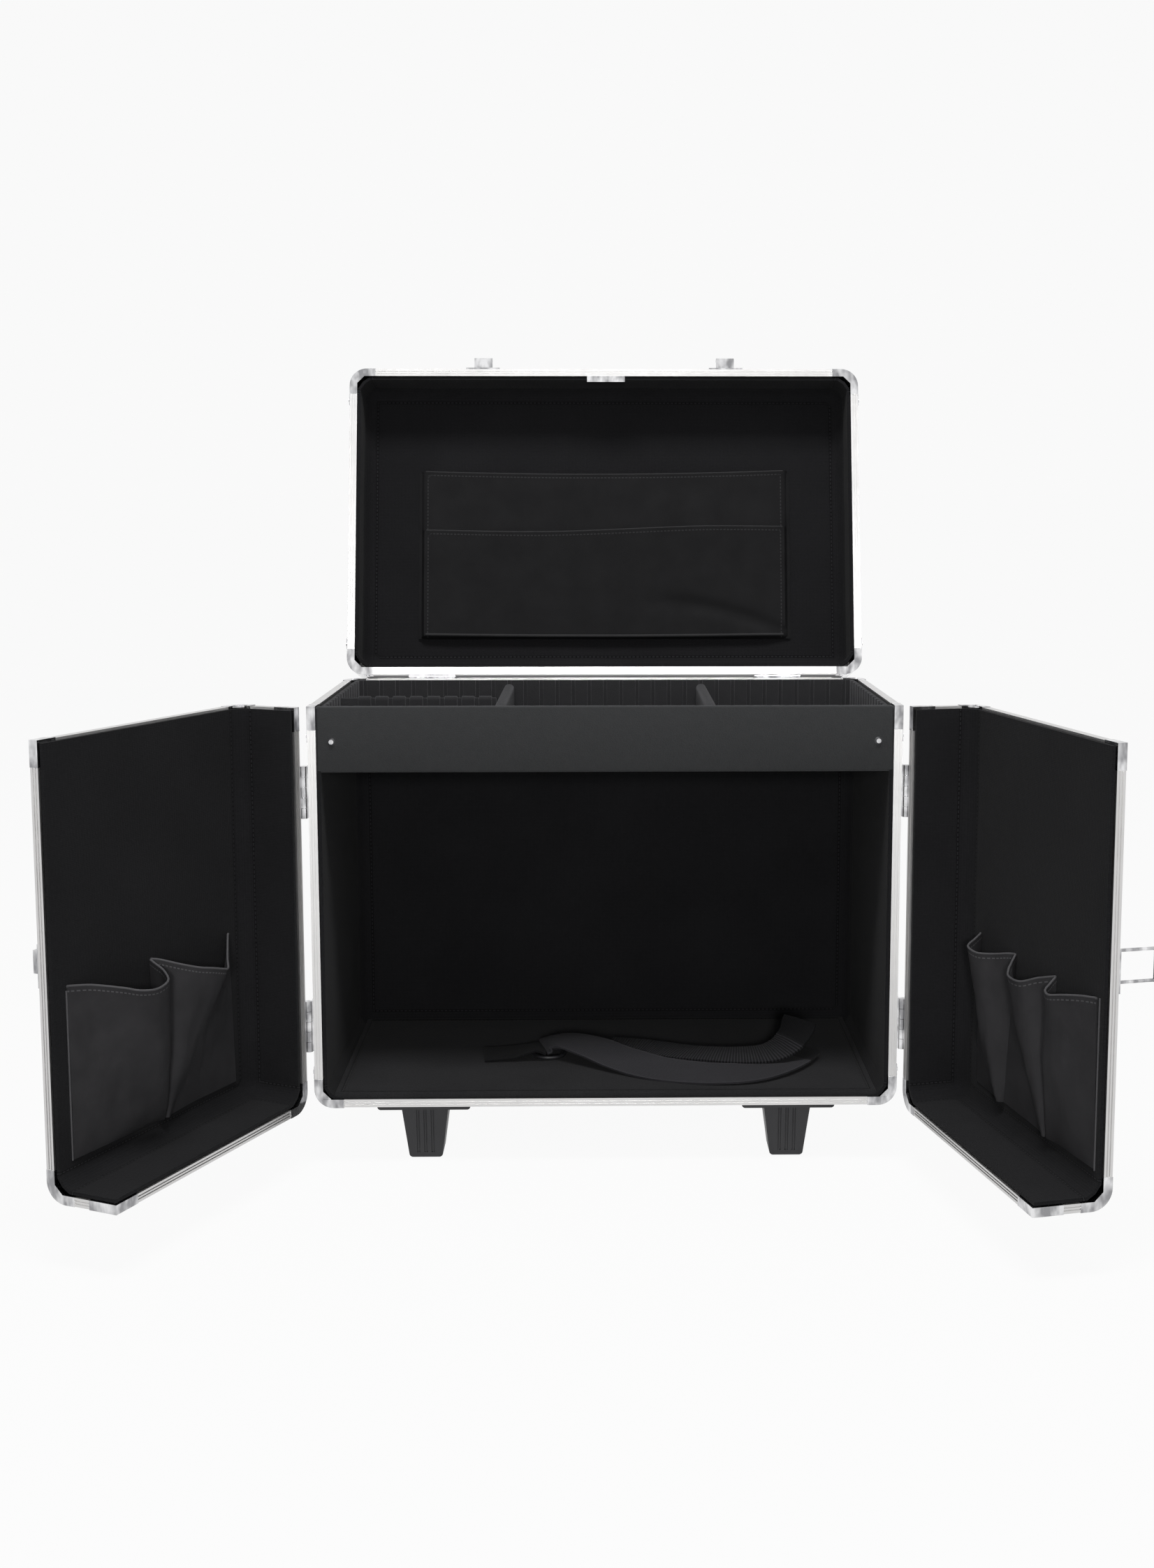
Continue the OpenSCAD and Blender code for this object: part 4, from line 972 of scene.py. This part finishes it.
RIGHT_BAYS = [
    [((31.7, 0.5, 135.8), (31.6, 0.5, 26)), ((38, 8, 133.5), (46, 0.6, 25.6)),
     ((44.5, 16, 131), (62, 1.2, 25.2)), ((50, 16.5, 129.2), (70, 3, 25.1)),
     ((58, 13.5, 128.3), (73.5, 4.4, 25)), ((70, 7, 130.5), (75, 4, 25)),
     ((80, 2.8, 133), (75.6, 2.5, 25)), ((88.6, 0.4, 134.6), (76, 0.4, 25))],
    [((88.6, 0.4, 134.6), (76, 0.4, 25)), ((92, 4.5, 131), (100, 0.8, 25)),
     ((95, 7.5, 128.5), (130, 1.2, 24.8)), ((97, 9.5, 127), (140, 2.5, 24.6)),
     ((105, 13.2, 124), (143, 4, 24.6)), ((121, 12.5, 124.6), (145, 4.6, 24.5)),
     ((134, 6, 130), (145.5, 4, 24.5)), ((149, 0.4, 134.7), (146, 0.4, 24.5))],
    [((149, 0.4, 134.7), (146, 0.4, 24.5)), ((150, 5, 130.5), (147, 2.4, 24.5)),
     ((153, 10, 127.2), (149, 3.2, 24.5)), ((161, 11.5, 126.3), (160, 1.2, 24.6)),
     ((174, 8.5, 129.5), (176, 0.9, 24.8)), ((190, 3.5, 133), (193, 0.7, 25)),
     ((205, 0.5, 135.4), (208, 0.5, 25.2))]]

# how soon each bay swells above its foot: less is sooner
BELLIES = {"left": [0.6, 1.15], "right": [0.7, 0.9, 0.7]}


def build_door_pockets():
    done = []
    for side, bays in (("left", [WIDE_BAY, NARROW_BAY]), ("right", RIGHT_BAYS)):
        rim = max(max(r[0][0], r[1][0]) for ribs in bays for r in ribs)
        tape = hanging_roll(side + "_pocket_edge_tape",
                            [(rim + 0.3, 0.4, 24 + i * 1.9) for i in range(60)],
                            0.6, DOOR_SPOT)
        pieces = [tape]
        for number, ribs in enumerate(bays):
            bay = leather_bay(f"{side}_pocket_bay_{number + 1}", ribs, DOOR_SPOT,
                              BELLIES[side][number], 3.3 * number + len(bays))
            mouth = [rib[0] for rib in ribs]
            line = [along(mouth, t) for t in even(mouth, 70)[0]]
            hem = hanging_roll(bay.name + "_hem", [(p.x, max(p.y, 0.9), p.z) for p in line],
                               0.8, DOOR_SPOT)
            bay_flat(ribs)
            pieces += [bay, hem]
        for piece in pieces:
            # The door leather is painted lighter than the lid's: painted light.
            settle(piece, side + "_door", LIT_LEATHER, side == "right")
            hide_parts(side + "_door_pocket")
        done += pieces
    return done


def bay_flat(ribs):
    """A bay's cut: as wide as the longer of its mouth and foot, as long as its ribs."""
    lengths = [even([rib[end] for rib in ribs], 40)[1] for end in (0, 1)]
    tall = max((Vector(top) - Vector(low)).length for top, low in ribs)
    return (round(max(lengths) * MM, 4), round(tall * MM, 4))


door_pockets = build_door_pockets()
print([piece.name for piece in door_pockets])

# %% [markdown]
# The pocket in the lid is flat by comparison: two sheets, the front one lower,
# sewn into a narrow gusset at both sides, with a piped edge along the foot.

# %% Lid pocket
POCKET_HALF = 157               # half the width of the pocket in the lid
# closed lid: x along the hinge, y out of the lining, z from the hinge edge
LID_SPOT = Matrix.Translation((0, BODY_D, LID_FACE)) @ Matrix(
    ((1, 0, 0, 0), (0, 0, -1, 0), (0, -1, 0, 0), (0, 0, 0, 1))) @ Matrix.Scale(MM, 4)


def lid_sheet(name, top, foot, depth, half, columns=120, rows=50, skirt=3):
    """One tier: top gives its height at x, depth how far it stands out at x and t.

    The outer rows and columns, skirt of them, fold back to the lining.
    """
    sheet, order = sheet_grid(name, columns, rows)
    stitched = [None] * len(order)
    for j in range(rows + 1):
        t = max(0, (j - skirt) / (rows - skirt))
        back_t = min(j / skirt, 1)
        for i in range(columns + 1):
            edge = min(i, columns - i)
            back_s = min(edge / skirt, 1)
            s = min(max((i - skirt) / (columns - 2 * skirt), 0), 1)
            x = -half + 2.0 + s * (2 * half - 4.0)
            x += (-1 if i < columns / 2 else 1) * (1 - back_s) * 2.6
            high = top(x)
            z = foot + t * (high - foot) - (1 - back_t) * 2.2
            out = depth(x, t)
            out = 0.5 + (out - 0.5) * min(back_s ** 0.7, back_t ** 0.7)
            vertex = order[j * (columns + 1) + i]
            vertex.co = (x, out, z)
            side = half - 2.0 - abs(x)
            near = min(high - z, side) - 3.0
            run = x if high - z < side else z
            stitched[vertex.index] = (near * MM, run * MM, 0)
    note(sheet, "seam", stitched)
    sheet.data.transform(LID_SPOT)
    give_thickness(sheet, 1.0 * MM, 0)
    return sheet


def rear_top(x):
    """The mouth of the tall tier sags a little between its ends."""
    return 180.5 - 3.6 * (1 - ((x - 8) / 165) ** 2) + 0.8 * x / POCKET_HALF


def front_top(x):
    """The mouth of the short tier dips left of the middle and steps up to the right."""
    return 129.5 - 4.4 * math.exp(-((x + 55) / 95) ** 2) + 1.6 / (1 + math.exp(-(x - 60) / 18))


def rear_depth(x, t):
    """The tall tier lies nearly flat."""
    ripple = 0.4 * noise.noise(Vector((x * 0.02, t * 3, 1)))
    return 3.2 + 1.6 * (1 - (x / POCKET_HALF) ** 2) * t + ripple


def front_depth(x, t):
    """The mouth gapes in the middle; one soft crease runs to the right end of the foot."""
    across = max(1 - (x / POCKET_HALF) ** 2, 0)
    gape = 9 * across ** 1.2 * t ** 1.1
    crease_line = 0.30 - 0.26 * ((x - 40) / 110) ** 2 if x > 0 else -1
    crease = 2.4 * math.exp(-((t - crease_line) / 0.08) ** 2) * min(max((x - 10) / 70, 0), 1)
    ripple = 0.8 * noise.noise(Vector((x * 0.018, t * 2.2, 7)))
    return 5.6 + gape - crease + ripple * across


def build_lid_pocket():
    rear = lid_sheet("lid_pocket_rear_sheet", rear_top, 37.5, rear_depth, POCKET_HALF)
    front = lid_sheet("lid_pocket_front_sheet", front_top, 37, front_depth,
                      POCKET_HALF - 0.6)
    foot = [(x, front_depth(x, 0.0) + 0.6 - 0.6 * (abs(x) / 153) ** 6,
             37.9 - 1.5 * (1 - (x / POCKET_HALF) ** 2)) for x in range(-153, 154, 6)]
    piping = hanging_roll("lid_pocket_piping", foot, 1.25, LID_SPOT)
    hems = []
    for word, depth, top, end, step in (("rear", rear_depth, rear_top, 154, 7),
                                        ("front", front_depth, front_top, 153, 6)):
        line = [(x, depth(x, 1), top(x)) for x in range(-end, end + 1, step)]
        hems.append(hanging_roll(f"lid_pocket_{word}_hem", line, 0.75, LID_SPOT))
    flanges = []
    for sign, word in ((-1, "left"), (1, "right")):
        deselect()
        bpy.ops.mesh.primitive_grid_add(x_subdivisions=4, y_subdivisions=72, size=1)
        flange = named("lid_pocket_" + word + "_gusset")
        stitched = []
        for vertex in flange.data.vertices:
            u, v = vertex.co.x + 0.5, vertex.co.y + 0.5
            x, z = sign * (154.5 + 5.0 * u), 34.5 + v * 144
            stitched.append((1, 0, 0))
            vertex.co = (x, 1.1 + 1.2 * math.sin(math.pi * u) * (1 - u), z)
        note(flange, "seam", stitched)
        flange.data.transform(LID_SPOT)
        give_thickness(flange, 0.9 * MM, 0)
        face_outwards(flange)
        flanges.append(flange)
    for piece in [rear, front, piping, *hems, *flanges]:
        # The lid's leather is the same leather painted darker: painted shade.
        settle(piece, "lid", SHADED_LID_LEATHER)
        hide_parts("lid_back_pocket", "lid_front_pocket")
    return [rear, front, piping, *hems, *flanges]


lid_pocket = build_lid_pocket()
print([piece.name for piece in lid_pocket])

# %% [markdown]
# A band of webbing lies on the floor. Its sewn tab holds a ring. The loose end
# rises out of the ring, bows to the front and comes back behind itself, ribbed
# side up. Each length is a ribbon along a curve, which rolls a little about it.

# %% Webbing


def ribbon(name, points, rolls, patch=0.0, rib=0.0, thick=1.5 * MM, pieces=150, rows=10):
    """points are (x, y, height of the middle) over the floor; rolls are degrees.

    patch is the length of the stiff sewn end, and rib says how ribbed the band is.
    Gives the band and its length in millimetres.
    """
    sheet, order = sheet_grid(name, pieces, rows)
    places, length = even(points, pieces)
    marks = [None] * len(order)
    uv = [None] * len(order)
    turns = [(r, 0, 0) for r in rolls]
    for j in range(rows + 1):
        v = j / rows - 0.5
        for i in range(pieces + 1):
            t = places[i]
            here = along(points, t)
            ahead = along(points, min(t + 0.01, 1)) - along(points, max(t - 0.01, 0))
            side = Vector((0, 0, 1)).cross(ahead).normalized()
            roll = math.radians(along(turns, t).x)
            side = side * math.cos(roll) + Vector((0, 0, 1)) * math.sin(roll)
            cup = 0.5 * (1 - (2 * v) ** 2)
            point = here + side * v * STRAP_MM
            point.z += cup + 0.35 * noise.noise(Vector((here.x * 0.05, here.y * 0.05, v * 3)))
            point.z = max(point.z, 0.9)
            vertex = order[j * (pieces + 1) + i]
            vertex.co = (point.x * MM, point.y * MM, FLOOR_TOP + point.z * MM)
            run = i / pieces * length
            marks[vertex.index] = (1.0 if run > length - patch else 0.0, rib, 0)
            uv[vertex.index] = (run * MM, v * STRAP_MM * MM)
    layer = sheet.data.uv_layers.active.data
    for loop in sheet.data.loops:
        layer[loop.index].uv = uv[loop.vertex_index]
    note(sheet, "weave", marks)
    give_thickness(sheet, thick, 0)
    face_outwards(sheet)
    return sheet, length


def lay_strap():
    tab = ribbon("strap_tab", [(-96, 90, 1.4), (-84, 91, 1.7), (-72, 91, 2.6), (-62, 91, 5.0),
                               (-54, 91, 6.6), (-47, 91, 4.4)], [0, 0, 0, -4, -6, -4],
                 rib=0.6, pieces=44, patch=60)
    bow = ribbon("strap_bow", [(-49, 92, 6.0), (-42, 93, 10.5), (-29, 89, 12.5), (-8, 75, 10.5),
                               (16, 57, 6.5), (44, 41, 4.2), (76, 32, 4), (104, 33, 4.2),
                               (126, 47, 4.4), (142, 66, 4.6), (153, 88, 5)],
                 [0, 0, 3, 8, 12, 12, 9, 6, 4, 3, 2], patch=20, rib=0.0)
    back = ribbon("strap_return", [(2, 97, 6.8), (32, 89, 6.6), (64, 74, 7.2), (90, 67, 7.6),
                                   (110, 65, 7.8), (126, 66, 9), (138, 70, 13), (147, 75, 21),
                                   (152, 79, 32)],
                  [2, 1, 0, 1, 3, 4, 3, 2, 0], patch=18, rib=1.0)
    for piece, long in (tab, bow, back):
        round(long * MM, 4)
        settle(piece, "case_body", WEBBING)
        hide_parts("floor_strap")
        print(piece.name, round(long), "mm long")


lay_strap()
